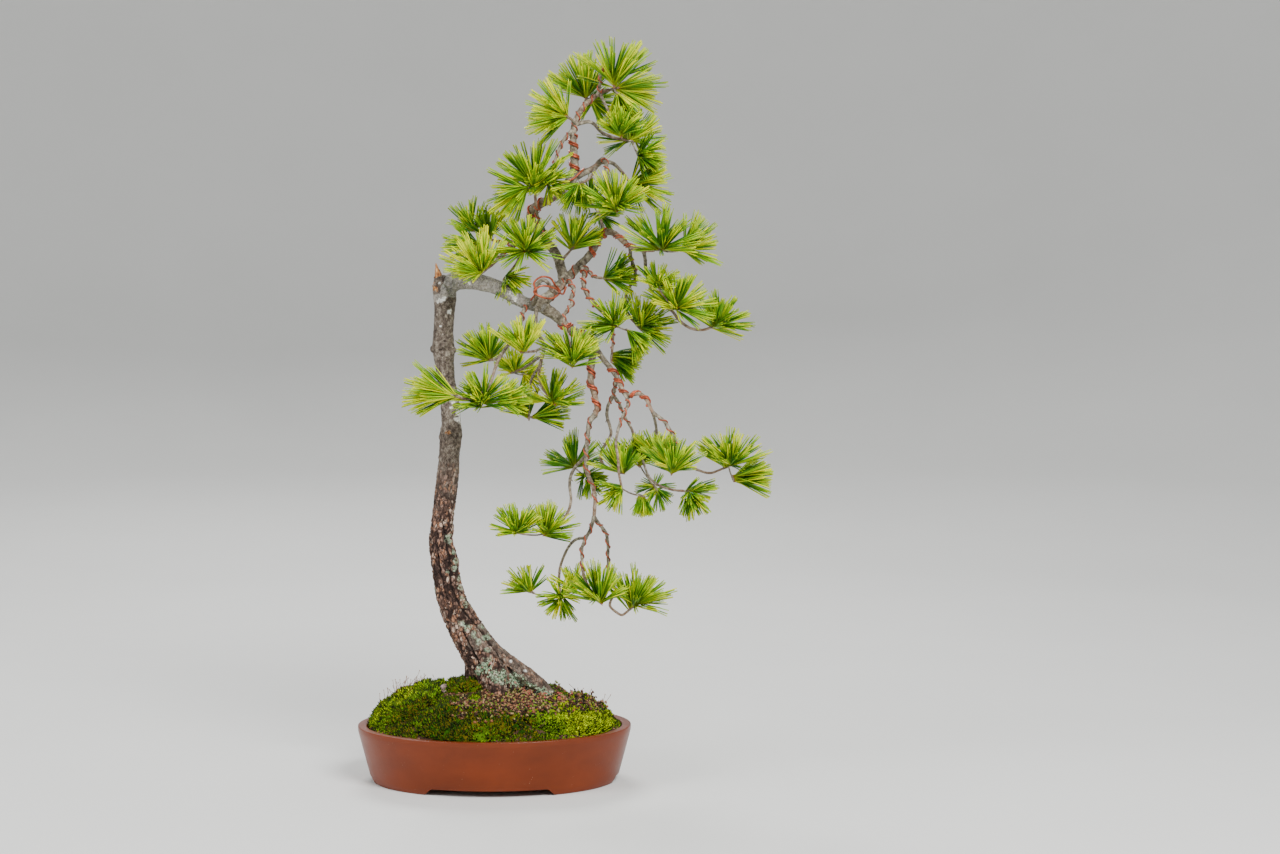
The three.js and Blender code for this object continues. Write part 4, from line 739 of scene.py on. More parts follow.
def settled(piece):
    """Applies the piece's modifiers to its mesh"""
    graph = bpy.context.evaluated_depsgraph_get()
    mesh = bpy.data.meshes.new_from_object(piece.evaluated_get(graph))
    piece.modifiers.clear()
    piece.data = mesh


def scattered(shape, prototype, matrix, tone):
    """Adds a turned and sized copy of a small mesh, with its tones shifted"""
    copy = prototype.copy()
    copy.transform(matrix)
    layer = copy.attributes["tone"].data
    tones = np.empty(len(layer), np.float32)
    layer.foreach_get("value", tones)
    layer.foreach_set("value", np.clip(tones + tone, 0, 1))
    shape.from_mesh(copy)
    bpy.data.meshes.remove(copy)


def soil_rise(out):
    """The soil's height at a share of its half width"""
    return (SOIL_EDGE + (SOIL_PEAK - SOIL_EDGE) * (1 - min(out, 1) ** 2) ** 0.8) * MM


def ground_spot(out, turn):
    """The way from the pot's middle to a share of the soil's half width, at a turn"""
    return Vector((SOIL_HALF * out * math.cos(turn), SOIL_HALF * POT_FLAT * out * math.sin(turn), 0))


def lumpy(point, size):
    """Smooth lumps from -1 to 1, of a size in metres"""
    return noise.noise(point / size)


def shaken(chance, most):
    """A random shift of up to a value either way along each axis"""
    return Vector([chance.uniform(-most, most) for _ in range(3)])


def upright(direction, roll):
    """The turn that takes Z to a direction, after a roll about Z"""
    return direction.to_track_quat("Z", "Y").to_matrix().to_4x4() @ Matrix.Rotation(roll, 4, "Z")


# Places on the pieces
def skin_of(name):
    """A piece's surface, for finding what lies over or under a place"""
    piece = bpy.data.objects[name]
    mesh = piece.data
    corners = [vert.co for vert in mesh.vertices]
    return BVHTree.FromPolygons(corners, [face.vertices for face in mesh.polygons])


def skin_spots(shape, chance, step):
    """Loosely even places over a shape's faces, each with the way that it faces"""
    places = []
    # A new ball's faces come in another order each run, so they are taken by place
    for face in sorted(shape.faces, key=lambda face: face.calc_center_median()[:]):
        for _ in range(int(face.calc_area() / step**2 + chance.random())):
            corner = chance.choice(sorted(face.verts, key=lambda vert: vert.co[:])).co
            places.append((face.calc_center_median().lerp(corner, chance.random()), face.normal.copy()))
    return places


def soil_spots(chance, step):
    """Loosely even spots over the soil's oval"""
    across = math.ceil(SOIL_HALF / step)
    for column in range(-across, across + 1):
        for row in range(-across, across + 1):
            x = (column + chance.uniform(-0.5, 0.5)) * step
            y = (row + chance.uniform(-0.5, 0.5)) * step
            if math.hypot(x, y / POT_FLAT) < SOIL_HALF:
                yield POT_CENTRE.x + x, POT_CENTRE.y + y


def struck(skin, x, y):
    """Where a line straight down meets a skin, and which way that faces"""
    place, normal, _, _ = skin.ray_cast(Vector((x, y, 0.3)), Vector((0, 0, -1)))
    if place and normal.z < 0:
        normal = -normal
    return place, normal


def topmost(skins, x, y):
    """The highest place where a line straight down meets one of the skins"""
    hits = [struck(skin, x, y)[0] for skin in skins]
    return max((place for place in hits if place), key=lambda place: place.z, default=None)


def sighted(skin, across, down):
    """Where the view's line through a pixel first meets a skin, and which way that faces"""
    near, far = placed((across, down, -200)), placed((across, down, 200))
    place, normal, _, _ = skin.ray_cast(near, (far - near).normalized())
    return place, normal


def outness(place):
    """A place's share of the soil's half width"""
    local = place - POT_CENTRE
    return math.hypot(local.x, local.y / POT_FLAT) / SOIL_HALF


# Finishes
class Finish:
    """A material in the making: a shader, and short calls for the nodes that feed it"""

    def __init__(self, name, **sockets):
        self.material = bpy.data.materials.new(name)
        self.material.use_nodes = True
        self.tree = self.material.node_tree
        self.shader = self.tree.nodes["Principled BSDF"]
        self.place = self.tree.nodes.new("ShaderNodeTexCoord").outputs["Object"]
        for socket, value in sockets.items():
            self.shader.inputs[socket.replace("_", " ")].default_value = value

    def node(self, kind, inputs, **settings):
        made = self.tree.nodes.new(f"ShaderNode{kind}")
        for setting, value in settings.items():
            setattr(made, setting, value)
        for socket, value in inputs.items():
            if isinstance(value, bpy.types.NodeSocket):
                self.tree.links.new(value, made.inputs[socket])
            else:
                made.inputs[socket].default_value = value
        return made

    def noise(self, scale, detail=4.0, roughness=0.55, stretch=(1, 1, 1)):
        place = self.node("Mapping", {"Vector": self.place, "Scale": stretch}).outputs["Vector"]
        inputs = {"Vector": place, "Scale": scale, "Detail": detail, "Roughness": roughness}
        return self.node("TexNoise", inputs).outputs["Fac"]

    def cells(self, scale, feature="F1", output="Distance", stretch=(1, 1, 1), warp=0.0):
        place = self.node("Mapping", {"Vector": self.place, "Scale": stretch}).outputs["Vector"]
        bent = self.node("TexNoise", {"Vector": place, "Scale": scale * 0.7}).outputs["Color"]
        place = self.node("VectorMath", {0: bent, 1: (warp,) * 3, 2: place}, operation="MULTIPLY_ADD")
        inputs = {"Vector": place.outputs[0], "Scale": scale}
        return self.node("TexVoronoi", inputs, feature=feature).outputs[output]

    def attribute(self, name):
        return self.node("Attribute", {}, attribute_name=name).outputs["Fac"]

    def maths(self, operation, first, second=0.0):
        return self.node("Math", {0: first, 1: second}, operation=operation).outputs[0]

    def ramp(self, factor, stops):
        made = self.node("ValToRGB", {"Fac": factor})
        points = made.color_ramp.elements
        while len(points) < len(stops):
            points.new(0.5)
        for point, (position, colour) in zip(points, stops):
            point.position = position
            point.color = (*colour, 1)
        return made.outputs["Color"]

    def levels(self, factor, low, high, start=0.0, stop=1.0):
        """Stretches low to high over start to stop, and holds it there"""
        inputs = {0: factor, 1: low, 2: high, 3: start, 4: stop}
        return self.node("MapRange", inputs).outputs[0]

    def mix(self, factor, first, second, blend="MIX"):
        first = first if isinstance(first, bpy.types.NodeSocket) else (*first, 1)
        second = second if isinstance(second, bpy.types.NodeSocket) else (*second, 1)
        inputs = {0: factor, 6: first, 7: second}
        return self.node("Mix", inputs, data_type="RGBA", blend_type=blend).outputs[2]

    def bump(self, height, distance, strength=1.0):
        inputs = {"Height": height, "Distance": distance, "Strength": strength}
        normal = self.node("Bump", inputs).outputs["Normal"]
        self.tree.links.new(normal, self.shader.inputs["Normal"])

    def feed(self, socket, value):
        self.tree.links.new(value, self.shader.inputs[socket])


def clay_finish(settings):
    """Unglazed red-brown clay, slightly clouded, with rare pale specks"""
    made = Finish("unglazed_clay", Specular_IOR_Level=0.2, Coat_Weight=0.16, Coat_Roughness=0.2)
    clay = Vector(settings.clay)
    clouds = made.noise(11, detail=3, roughness=0.6, stretch=(1, 1, 2.2))
    colour = made.ramp(clouds, [(0.3, clay * 0.78), (0.5, clay), (0.72, clay * 1.2)])
    speck = made.levels(made.cells(420), 0.06, 0.12, 1, 0)
    rare = made.levels(made.noise(90, detail=1), 0.62, 0.7)
    colour = made.mix(made.maths("MULTIPLY", speck, rare), colour, (0.5, 0.3, 0.2))
    grime = made.levels(made.noise(35, detail=6, roughness=0.7), 0.55, 0.8, 0, 0.35)
    colour = made.mix(grime, colour, clay * 0.55)
    made.feed("Base Color", colour)
    made.feed("Roughness", made.levels(made.noise(14, detail=5), 0.3, 0.7, 0.26, 0.5))
    grain = made.maths("ADD", made.noise(700, detail=3), made.maths("MULTIPLY", made.noise(60), 2.0))
    made.bump(grain, 0.00025, 0.35)
    return made.material


def bark_finish(settings):
    """Flaky plates low on the trunk, smooth streaked bark above, and its pale, green and torn spots; the
    cracks are darkened, partly as painted shade
    """
    made = Finish("trunk_bark", Roughness=0.85, Specular_IOR_Level=0.25)
    relief = made.attribute("relief")
    long_cells = {"stretch": (1, 1, 0.6), "warp": 0.0016}
    flakes = made.cells(290, output="Color", **long_cells)
    patchy = made.noise(110, detail=6, roughness=0.7, stretch=(1, 1, 0.5))
    mixed = made.maths("ADD", made.maths("MULTIPLY", flakes, 0.45), made.maths("MULTIPLY", patchy, 0.55))
    plates = made.ramp(made.maths("ADD", mixed, made.maths("MULTIPLY", made.attribute("shade"), 0.16)), [
        (0.38, (0.030, 0.015, 0.011)), (0.46, (0.125, 0.066, 0.046)), (0.54, (0.285, 0.175, 0.135)),
        (0.61, (0.350, 0.150, 0.070)), (0.67, (0.520, 0.385, 0.300)),
    ])
    # The plates darken to near black at their edges and where the relief is low: partly the cracks' own
    # dark bark, partly painted shade in the cracks
    edge = made.levels(made.cells(290, feature="DISTANCE_TO_EDGE", **long_cells), 0.02, 0.18, 0.25, 1)
    plates = made.mix(edge, (0.030, 0.016, 0.012), plates)
    plates = made.mix(made.levels(relief, 0.05, 0.55), (0.018, 0.010, 0.008), plates)
    streaks = made.noise(230, detail=8, roughness=0.78, stretch=(1, 1, 0.8))
    smooth = made.ramp(streaks, [
        (0.37, (0.034, 0.024, 0.018)), (0.46, (0.095, 0.072, 0.055)), (0.54, (0.165, 0.132, 0.104)),
        (0.64, (0.360, 0.315, 0.250)),
    ])
    # The smooth bark darkens where its relief is low: partly its own darker pits, partly painted shade in
    # them
    smooth = made.mix(made.levels(relief, 0.1, 0.6), (0.035, 0.024, 0.018), smooth)
    colour = made.mix(made.attribute("flaky"), smooth, plates)
    crust = made.levels(made.noise(420, detail=6, roughness=0.75), 0.42, 0.58)
    pale = made.maths("MULTIPLY", made.attribute("pale"), made.levels(crust, 0, 1, 0.45, 1))
    white = made.ramp(made.attribute("pale"), [(0.5, (0.66, 0.64, 0.58)), (0.9, (0.98, 0.97, 0.90))])
    colour = made.mix(pale, colour, white)
    lichen = made.maths("MULTIPLY", made.attribute("lichen"), crust)
    green = made.ramp(made.noise(220), [(0.35, settings.lichen), (0.65, (0.50, 0.60, 0.44))])
    colour = made.mix(lichen, colour, green)
    colour = made.mix(made.attribute("torn"), colour, torn_wood(made))
    made.feed("Base Color", colour)
    fine = made.maths("ADD", made.noise(900, detail=4), made.noise(350, detail=5, stretch=(1, 1, 0.4)))
    made.bump(made.maths("ADD", fine, edge), 0.0012, 1.0)
    return made.material


def torn_wood(made):
    """Fibres of torn, weathered wood"""
    return made.ramp(made.noise(420, detail=6, roughness=0.75, stretch=(1, 1, 0.3)), [
        (0.38, (0.030, 0.012, 0.006)), (0.46, (0.180, 0.062, 0.022)), (0.54, (0.450, 0.180, 0.050)),
        (0.64, (0.780, 0.540, 0.260)),
    ])


def torn_finish():
    """Torn wood, bare of bark"""
    made = Finish("torn_wood", Roughness=0.7, Specular_IOR_Level=0.3)
    made.feed("Base Color", torn_wood(made))
    made.bump(made.noise(420, detail=6, roughness=0.75, stretch=(1, 1, 0.3)), 0.0014, 1.0)
    return made.material


def twig_finish(settings):
    """Grey-brown bark, redder towards the young end"""
    made = Finish("twig_bark", Roughness=0.75, Specular_IOR_Level=0.3)
    colour = made.ramp(made.noise(240, detail=6, roughness=0.7), [
        (0.32, (0.035, 0.022, 0.017)), (0.46, settings.twig), (0.56, (0.250, 0.215, 0.160)),
        (0.68, (0.450, 0.405, 0.320)),
    ])
    young = made.levels(made.attribute("along"), 0.45, 1.0, 0, 0.32)
    colour = made.mix(young, colour, (0.33, 0.13, 0.060))
    made.feed("Base Color", colour)
    made.bump(made.noise(1100, detail=4), 0.0006, 0.8)
    return made.material


def needle_finish(settings):
    """Green to yellow needles, paler at the foot, with a brown sheath"""
    made = Finish("pine_needle", Roughness=0.5, Specular_IOR_Level=0.15)
    colour = made.ramp(made.attribute("tone"), [
        (0.1, settings.old_needle), (0.45, settings.needle), (0.75, settings.young_needle),
        (1.0, (0.80, 0.78, 0.01)),
    ])
    along = made.attribute("along")
    colour = made.mix(made.levels(along, 0.8, 1.0, 0, 0.35), colour, settings.young_needle)
    colour = made.mix(made.levels(along, 0.0, 0.3, 0.55, 0), colour, (0.46, 0.46, 0.02))
    colour = made.mix(made.levels(along, 0.015, 0.05, 1, 0), colour, (0.33, 0.12, 0.035))
    made.feed("Base Color", colour)
    return made.material


def copper_finish(settings):
    """Dulled copper wire"""
    made = Finish("training_wire", Metallic=0.55, Specular_IOR_Level=0.5)
    wire = Vector(settings.copper)
    colour = made.ramp(made.noise(180, detail=3), [(0.35, wire * 0.45), (0.55, wire), (0.75, wire * 1.25)])
    made.feed("Base Color", colour)
    made.feed("Roughness", made.levels(made.noise(400), 0.3, 0.7, 0.34, 0.6))
    made.bump(made.noise(1500, detail=2), 0.0002, 0.4)
    return made.material


def soil_finish(settings):
    """Dark gritty soil"""
    made = Finish("potting_soil", Roughness=0.95, Specular_IOR_Level=0.2)
    grit = made.noise(420, detail=5, roughness=0.7)
    colour = made.ramp(grit, [
        (0.34, (0.014, 0.009, 0.006)), (0.5, settings.soil), (0.62, (0.17, 0.085, 0.05)),
        (0.74, (0.30, 0.18, 0.12)),
    ])
    made.feed("Base Color", colour)
    made.bump(grit, 0.0016, 1.0)
    return made.material


MOSS_TONES = [
    (0.0, (0.012, 0.055, 0.001)), (0.18, (0.040, 0.160, 0.001)), (0.27, (0.190, 0.140, 0.005)),
    (0.37, (0.240, 0.180, 0.006)), (0.47, (0.095, 0.200, 0.002)), (0.6, (0.170, 0.360, 0.002)),
    (0.78, (0.330, 0.520, 0.002)),
]


def moss_finish(settings):
    """Moss shoots, dark at the foot and bright at the tip: partly the shoots' own colours, partly painted
    shade and highlight
    """
    made = Finish("moss", Roughness=0.9, Specular_IOR_Level=0.1)
    tones = made.ramp(made.attribute("tone"), MOSS_TONES + [(1.0, settings.bright_moss)])
    along = made.attribute("along")
    # The dark foot is partly the stems' own darker colour, partly painted shade between the shoots
    colour = made.mix(made.levels(along, 0.05, 0.6, 0, 1), (0.006, 0.013, 0.001), tones)
    # The tips are mixed towards the moss's colour in full light, more where the moss is brighter: partly
    # the young tips' paler green, partly painted highlight
    lit = made.levels(made.attribute("tone"), 0, 1, 0.12, 0.7)
    tips = made.maths("MULTIPLY", made.levels(along, 0.6, 1.0), lit)
    colour = made.mix(tips, colour, settings.bright_moss)
    made.feed("Base Color", colour)
    made.bump(made.noise(1200, detail=3), 0.0008, 0.6)
    return made.material


def litter_finish(settings):
    """Dry grains from brown to tan, with a few green and pinkish ones"""
    made = Finish("dry_litter", Roughness=0.85, Specular_IOR_Level=0.3)
    colour = made.ramp(made.attribute("tone"), [
        (0.0, (0.014, 0.007, 0.004)), (0.22, settings.litter), (0.42, (0.250, 0.092, 0.034)),
        (0.62, (0.410, 0.235, 0.130)), (0.74, (0.140, 0.250, 0.006)), (0.82, (0.100, 0.200, 0.004)),
        (0.88, (0.360, 0.035, 0.020)), (1.0, (0.560, 0.100, 0.090)),
    ])
    mottled = made.levels(made.noise(900, detail=3), 0.3, 0.7, 0.65, 1.2)
    colour = made.mix(1.0, colour, made.ramp(mottled, [(0.6, (0.6,) * 3), (1.0, (1,) * 3)]), "MULTIPLY")
    made.feed("Base Color", colour)
    made.bump(made.noise(1400, detail=3), 0.0006, 0.8)
    return made.material


def stone_finish():
    """Mottled brown stone"""
    made = Finish("small_stone", Roughness=0.85, Specular_IOR_Level=0.3)
    made.feed("Base Color", made.ramp(made.noise(350, detail=6, roughness=0.7), [
        (0.36, (0.040, 0.026, 0.020)), (0.5, (0.210, 0.140, 0.115)), (0.66, (0.450, 0.350, 0.310)),
    ]))
    made.bump(made.noise(900, detail=4), 0.0008, 0.9)
    return made.material


def lichen_finish(settings):
    """Grey-green crust, with a few reddish bits"""
    made = Finish("lichen_crust", Roughness=0.9, Specular_IOR_Level=0.2)
    tones = made.ramp(made.attribute("tone"), [
        (0.0, Vector(settings.lichen) * 0.45), (0.5, settings.lichen), (0.9, (0.56, 0.66, 0.46)),
        (1.0, (0.52, 0.20, 0.16)),
    ])
    made.feed("Base Color", tones)
    made.bump(made.noise(1500, detail=4), 0.0008, 0.9)
    return made.material


def net_finish():
    """Dark plastic netting"""
    made = Finish("drain_netting", Roughness=0.6)
    colour = made.ramp(made.noise(200), [(0.3, (0.012, 0.02, 0.016)), (0.7, (0.03, 0.045, 0.036))])
    made.feed("Base Color", colour)
    made.bump(made.noise(900), 0.0002, 0.4)
    return made.material


# Settings that a user would change
def length_setting(name, description, default):
    """A setting in metres"""
    return bpy.props.FloatProperty(
        name=name, description=description, default=default, unit="LENGTH", precision=4
    )


def colour_setting(name, description, default):
    """A colour to pick"""
    return bpy.props.FloatVectorProperty(
        name=name, description=description, default=default, size=3, min=0, max=1, subtype="COLOR"
    )


class PotSettings(bpy.types.PropertyGroup):
    clay: colour_setting("Clay", "Colour of the fired clay", (0.135, 0.021, 0.002))


class GroundSettings(bpy.types.PropertyGroup):
    soil: colour_setting("Soil", "Colour of the potting soil", (0.065, 0.034, 0.02))
    litter: colour_setting("Litter", "Colour of most of the dry top layer", (0.095, 0.036, 0.017))
    bright_moss: colour_setting("Bright moss", "Colour of the moss in full light", (0.55, 0.68, 0.005))
    moss_height: length_setting("Moss height", "Height of a moss shoot", 0.0042)
    moss_width: length_setting("Moss width", "Width of a moss shoot", 0.0033)


class TreeSettings(bpy.types.PropertyGroup):
    bark_depth: length_setting("Bark depth", "Depth of the cracks between the bark plates", 0.0018)
    twig: colour_setting("Twig", "Colour of most of the twigs' bark", (0.140, 0.114, 0.080))
    lichen: colour_setting("Lichen", "Colour of the lichen on the trunk", (0.27, 0.40, 0.24))


class WireSettings(bpy.types.PropertyGroup):
    thickness: length_setting("Thickness", "Diameter of the thick training wire", 0.0022)
    fine_thickness: length_setting("Fine thickness", "Diameter of the thin training wire", 0.0015)
    copper: colour_setting("Copper", "Colour of the annealed wire", (0.44, 0.095, 0.042))


class NeedleSettings(bpy.types.PropertyGroup):
    thickness: length_setting("Thickness", "Width of a needle", 0.00138)
    bundle: bpy.props.IntProperty(
        name="Bundle", description="Needles in a bundle", default=5, min=1, max=8
    )
    old_needle: colour_setting("Old needle", "Colour of the darkest needles", (0.022, 0.115, 0.003))
    needle: colour_setting("Needle", "Colour of most needles", (0.20, 0.41, 0.003))
    young_needle: colour_setting("Young needle", "Colour of bright needles and tips", (0.66, 0.70, 0.002))


class StageSettings(bpy.types.PropertyGroup):
    floor: colour_setting("Floor", "Colour of the floor", (0.70, 0.70, 0.68))
    main_light: bpy.props.FloatProperty(
        name="Main light", description="Power of the large soft light", default=115, unit="POWER"
    )


# Pot
def rounded(corners, round_off):
    """An outline with its corners cut to short curves, each as wide as its own round-off in metres"""
    outline = []
    last = len(corners) - 1
    for k, corner in enumerate(corners):
        corner = Vector(corner)
        if k in (0, last) or not round_off[k]:
            outline.append(corner)
            continue
        before, after = Vector(corners[k - 1]), Vector(corners[k + 1])
        start = corner + (before - corner).normalized() * round_off[k]
        stop = corner + (after - corner).normalized() * round_off[k]
        for step in range(ROUND_STEPS + 1):
            t = step / ROUND_STEPS
            outline.append(start * (1 - t) ** 2 + corner * 2 * t * (1 - t) + stop * t**2)
    return outline


def turned(outline, steps):
    """A shape turned about the upright axis"""
    shape = bmesh.new()
    chain = [shape.verts.new((x, 0, z)) for x, z in outline]
    edges = [shape.edges.new(pair) for pair in zip(chain, chain[1:])]
    bmesh.ops.spin(
        shape, geom=chain + edges, axis=(0, 0, 1), cent=(0, 0, 0),
        angle=2 * math.pi, steps=steps, use_merge=True,
    )
    bmesh.ops.remove_doubles(shape, verts=shape.verts, dist=1e-6)
    return shape


def turned_oval(outline, steps):
    """A turned shape drawn out to the pot's oval, about the pot's middle"""
    shape = turned(outline, steps)
    bmesh.ops.scale(shape, vec=(1, POT_FLAT, 1), verts=shape.verts)
    bmesh.ops.translate(shape, vec=POT_CENTRE, verts=shape.verts)
    bmesh.ops.recalc_face_normals(shape, faces=shape.faces)
    return shape


def notch_cutter(width, top_width, along):
    """A long bar with a flat arched top, for the gap between two feet"""
    shape = bmesh.new()
    half, top = width / 2, top_width / 2
    corners = rounded(
        [(-half - NOTCH_HEIGHT, -NOTCH_HEIGHT), (-half, 0), (-top, NOTCH_HEIGHT), (top, NOTCH_HEIGHT),
         (half, 0), (half + NOTCH_HEIGHT, -NOTCH_HEIGHT)], [0, 0, NOTCH_CORNER, NOTCH_CORNER, 0, 0],
    )
    face = shape.faces.new([shape.verts.new((x, -along / 2, z)) for x, z in corners])
    sweep = bmesh.ops.extrude_face_region(shape, geom=[face])["geom"]
    moved = [item for item in sweep if isinstance(item, bmesh.types.BMVert)]
    bmesh.ops.translate(shape, vec=(0, along, 0), verts=moved)
    return shape


def cut_away(piece, shape):
    """Cuts a shape out of a piece"""
    bmesh.ops.recalc_face_normals(shape, faces=shape.faces)
    mesh = mesh_of("cutter", shape)
    cutter = bpy.data.objects.new("cutter", mesh)
    bpy.context.scene.collection.objects.link(cutter)
    cut = piece.modifiers.new("cut", "BOOLEAN")
    cut.object = cutter
    cut.solver = "EXACT"
    settled(piece)
    bpy.data.objects.remove(cutter)
    bpy.data.meshes.remove(mesh)


class AddPot(bpy.types.Operator):
    """Turns the pot, draws it out to an oval and cuts the gaps between its feet"""

    bl_idname = "bonsai.add_pot"
    bl_label = "Add pot"

    def execute(self, context):
        settings = context.scene.bonsai_pot
        half, top = POT_HALF, POT_HIGH.z
        outline = [
            (0, 0.008), (0.112, 0.008), (0.112, 0), (0.134, 0), (0.1365, 0.005), (0.1435, 0.031),
            (0.1494, 0.0535), (half, 0.0560), (half, top), (half - WALL, top), (0.138, 0.050),
            (0.124, 0.014), (0, 0.014),
        ]
        softness = [0, 0.002, 0.0015, 0.0015, 0.003, 0.008, 0.0014, 0.0014, 0.0010, 0.0022, 0.004, 0.006, 0]
        shape = turned_oval(rounded(outline, softness), POT_STEPS)
        pot = finished("oval_pot", shape, [clay_finish(settings)], ["pot"])
        for across, side in ((FRONT_NOTCH, 0), (END_NOTCH, math.pi / 2)):
            cutter = notch_cutter(*across, 3 * half)
            bmesh.ops.rotate(cutter, verts=cutter.verts, matrix=Matrix.Rotation(side, 3, "Z"))
            bmesh.ops.translate(cutter, verts=cutter.verts, vec=POT_CENTRE)
            cut_away(pot, cutter)
        holes = bmesh.new()
        for side in (-1, 1):
            place = Matrix.Translation(POT_CENTRE + Vector((side * DRAIN_OFFSET, 0, 0)))
            bmesh.ops.create_cone(
                holes, cap_ends=True, segments=DRAIN_SIDES, radius1=DRAIN_RADIUS, radius2=DRAIN_RADIUS,
                depth=4 * DRAIN_RADIUS, matrix=place,
            )
        cut_away(pot, holes)
        pot.data.set_sharp_from_angle(angle=SHARP)
        return {"FINISHED"}


# Soil and moss
class AddSoil(bpy.types.Operator):
    """Turns the mound of soil and roughens its top"""

    bl_idname = "bonsai.add_soil"
    bl_label = "Add soil"

    def execute(self, context):
        settings = context.scene.bonsai_ground
        top = [(SOIL_HALF * out, soil_rise(out)) for out in np.linspace(1, 0, SOIL_RINGS)]
        inside = [(0, SOIL_FLOOR), (0.1236, SOIL_FLOOR), (0.1376, 0.05)]
        shape = turned_oval(inside + top, SOIL_STEPS)
        for vert in shape.verts:
            if vert.co.z > SOIL_ROUGH_FROM:
                vert.co.z += 0.0012 * lumpy(vert.co, 0.014) + 0.0007 * lumpy(vert.co, 0.004) - 0.0004
        finished("soil_mound", shape, [soil_finish(settings)], ["soil"])
        return {"FINISHED"}


def cushion_spot(cushion, x, y, z):
    """A point of a round ball as a place on a moss cushion, which bends along the rim"""
    turn = math.radians(cushion.middle + cushion.half * x)
    out = (cushion.inner + cushion.outer) / 2 + (cushion.outer - cushion.inner) / 2 * z
    lump = 1 + 0.16 * math.sin(9 * x + cushion.middle) + 0.12 * math.sin(11 * z + 5 * x)
    place = POT_CENTRE + ground_spot(out, turn)
    place.z = soil_rise(abs(out))
    if y > 0:
        place.z += cushion.height * MM * y**MOSS_FULLNESS * lump
        place.z += 0.0022 * lumpy(place, 0.011) * y
    else:
        place.z += MOSS_ROOTS * y
    return place


def moss_tone(place):
    """How bright the moss is at a place, partly painted light and shade: the nearest zones of the picture,
    mottled
    """
    local = place - POT_CENTRE
    share, total = 0, 0
    for x, y, tone in MOSS_ZONES:
        weight = 1 / (25 * MM**2 + (local.x - x * MM) ** 2 + (local.y - y * MM) ** 2) ** 1.5
        share += tone * weight
        total += weight
    return share / total + 0.18 * lumpy(place, 0.016) + 0.16 * lumpy(place, 0.006)


def moss_clump(settings, chance):
    """Moss shoots on a spot some millimetres wide, at the origin"""
    shape = bmesh.new()
    tone = shape.verts.layers.float.new("tone")
    along = shape.verts.layers.float.new("along")
    for _ in range(CLUMP_SHOOTS):
        out, turn = CLUMP_RADIUS * math.sqrt(chance.random()), chance.uniform(0, 2 * math.pi)
        tall = settings.moss_height * chance.uniform(0.6, 1.2)
        lean = Matrix.Rotation(chance.uniform(0, 0.6), 4, (-math.sin(turn), math.cos(turn), 0))
        spot = Matrix.Translation((out * math.cos(turn), out * math.sin(turn), tall / 2 - 0.001))
        made = bmesh.ops.create_cone(
            shape, segments=4, cap_ends=True, radius1=settings.moss_width / 2 * chance.uniform(0.7, 1.2),
            radius2=0, depth=tall, matrix=spot @ lean,
        )["verts"]
        shade = chance.uniform(-0.2, 0.2)
        for k, vert in enumerate(made):
            vert[tone] = 0.5 + shade
            vert[along] = k % 2
    bmesh.ops.remove_doubles(shape, verts=shape.verts, dist=1e-7)
    return mesh_of("moss_clump", shape)


class AddMoss(bpy.types.Operator):
    """Lays the moss cushions and a low ridge on the soil and covers them with shoots"""

    bl_idname = "bonsai.add_moss"
    bl_label = "Add moss"

    def execute(self, context):
        settings = context.scene.bonsai_ground
        finish = moss_finish(settings)
        chance = random.Random(11)
        clumps = [moss_clump(settings, chance) for _ in range(10)]
        for name, cushion in {**MOSS, "moss_ridge": MOSS_RIDGE}.items():
            shape = bmesh.new()
            bmesh.ops.create_uvsphere(shape, u_segments=64, v_segments=28, radius=1)
            tone = shape.verts.layers.float.new("tone")
            along = shape.verts.layers.float.new("along")
            for vert in shape.verts:
                vert.co = cushion_spot(cushion, vert.co.x, vert.co.z, vert.co.y)
                vert[tone] = moss_tone(vert.co)
                # The cushion's skin between the shoots takes part of their dark foot colour, as painted
                # shade
                vert[along] = 0.3
            shape.normal_update()
            bmesh.ops.recalc_face_normals(shape, faces=shape.faces)
            for place, normal in skin_spots(shape, chance, CLUMP_STEP):
                bare = patch(pictured(place), BARE_MOSS, place) > chance.random()
                if normal.z > -0.2 and place.z > soil_rise(outness(place)) + 0.0004 and not bare:
                    lean = (normal + Vector((0, 0, 0.5))).normalized()
                    size = chance.uniform(0.8, 1.25)
                    turn = upright(lean, chance.uniform(0, ROLL)) @ Matrix.Scale(size, 4)
                    spot = Matrix.Translation(place) @ turn
                    scattered(shape, chance.choice(clumps), spot, moss_tone(place) - 0.5)
            finished(f"{name}_shoots", shape, [finish], [name] if name in MOSS else [])
        return {"FINISHED"}


# Dry litter
def litter_clump(chance):
    """Some dry grains and bits of dead needle on a spot some millimetres wide, at the origin"""
    shape = bmesh.new()
    tone = shape.verts.layers.float.new("tone")
    for _ in range(CLUMP_GRAINS):
        out, turn = 1.2 * CLUMP_RADIUS * math.sqrt(chance.random()), chance.uniform(0, 2 * math.pi)
        place = Matrix.Translation((out * math.cos(turn), out * math.sin(turn), chance.uniform(0, 0.0008)))
        roll = Matrix.Rotation(chance.uniform(0, ROLL), 4, (chance.random(), 1, chance.random()))
        grain = chance.uniform(0.0010, 0.0020)
        stretch = Matrix.Diagonal((grain * chance.uniform(1, 2.2), grain, grain * 0.6, 1))
        made = bmesh.ops.create_cube(shape, size=1, matrix=place @ roll @ stretch)
        if chance.random() < PLAIN_GRAINS:
            shade = 0.64 * chance.random() ** 1.6
        else:
            shade = chance.choice(GRAIN_ACCENTS)
        for vert in made["verts"]:
            vert.co += shaken(chance, 0.25) * grain
            vert[tone] = shade
    return mesh_of("litter_clump", shape)


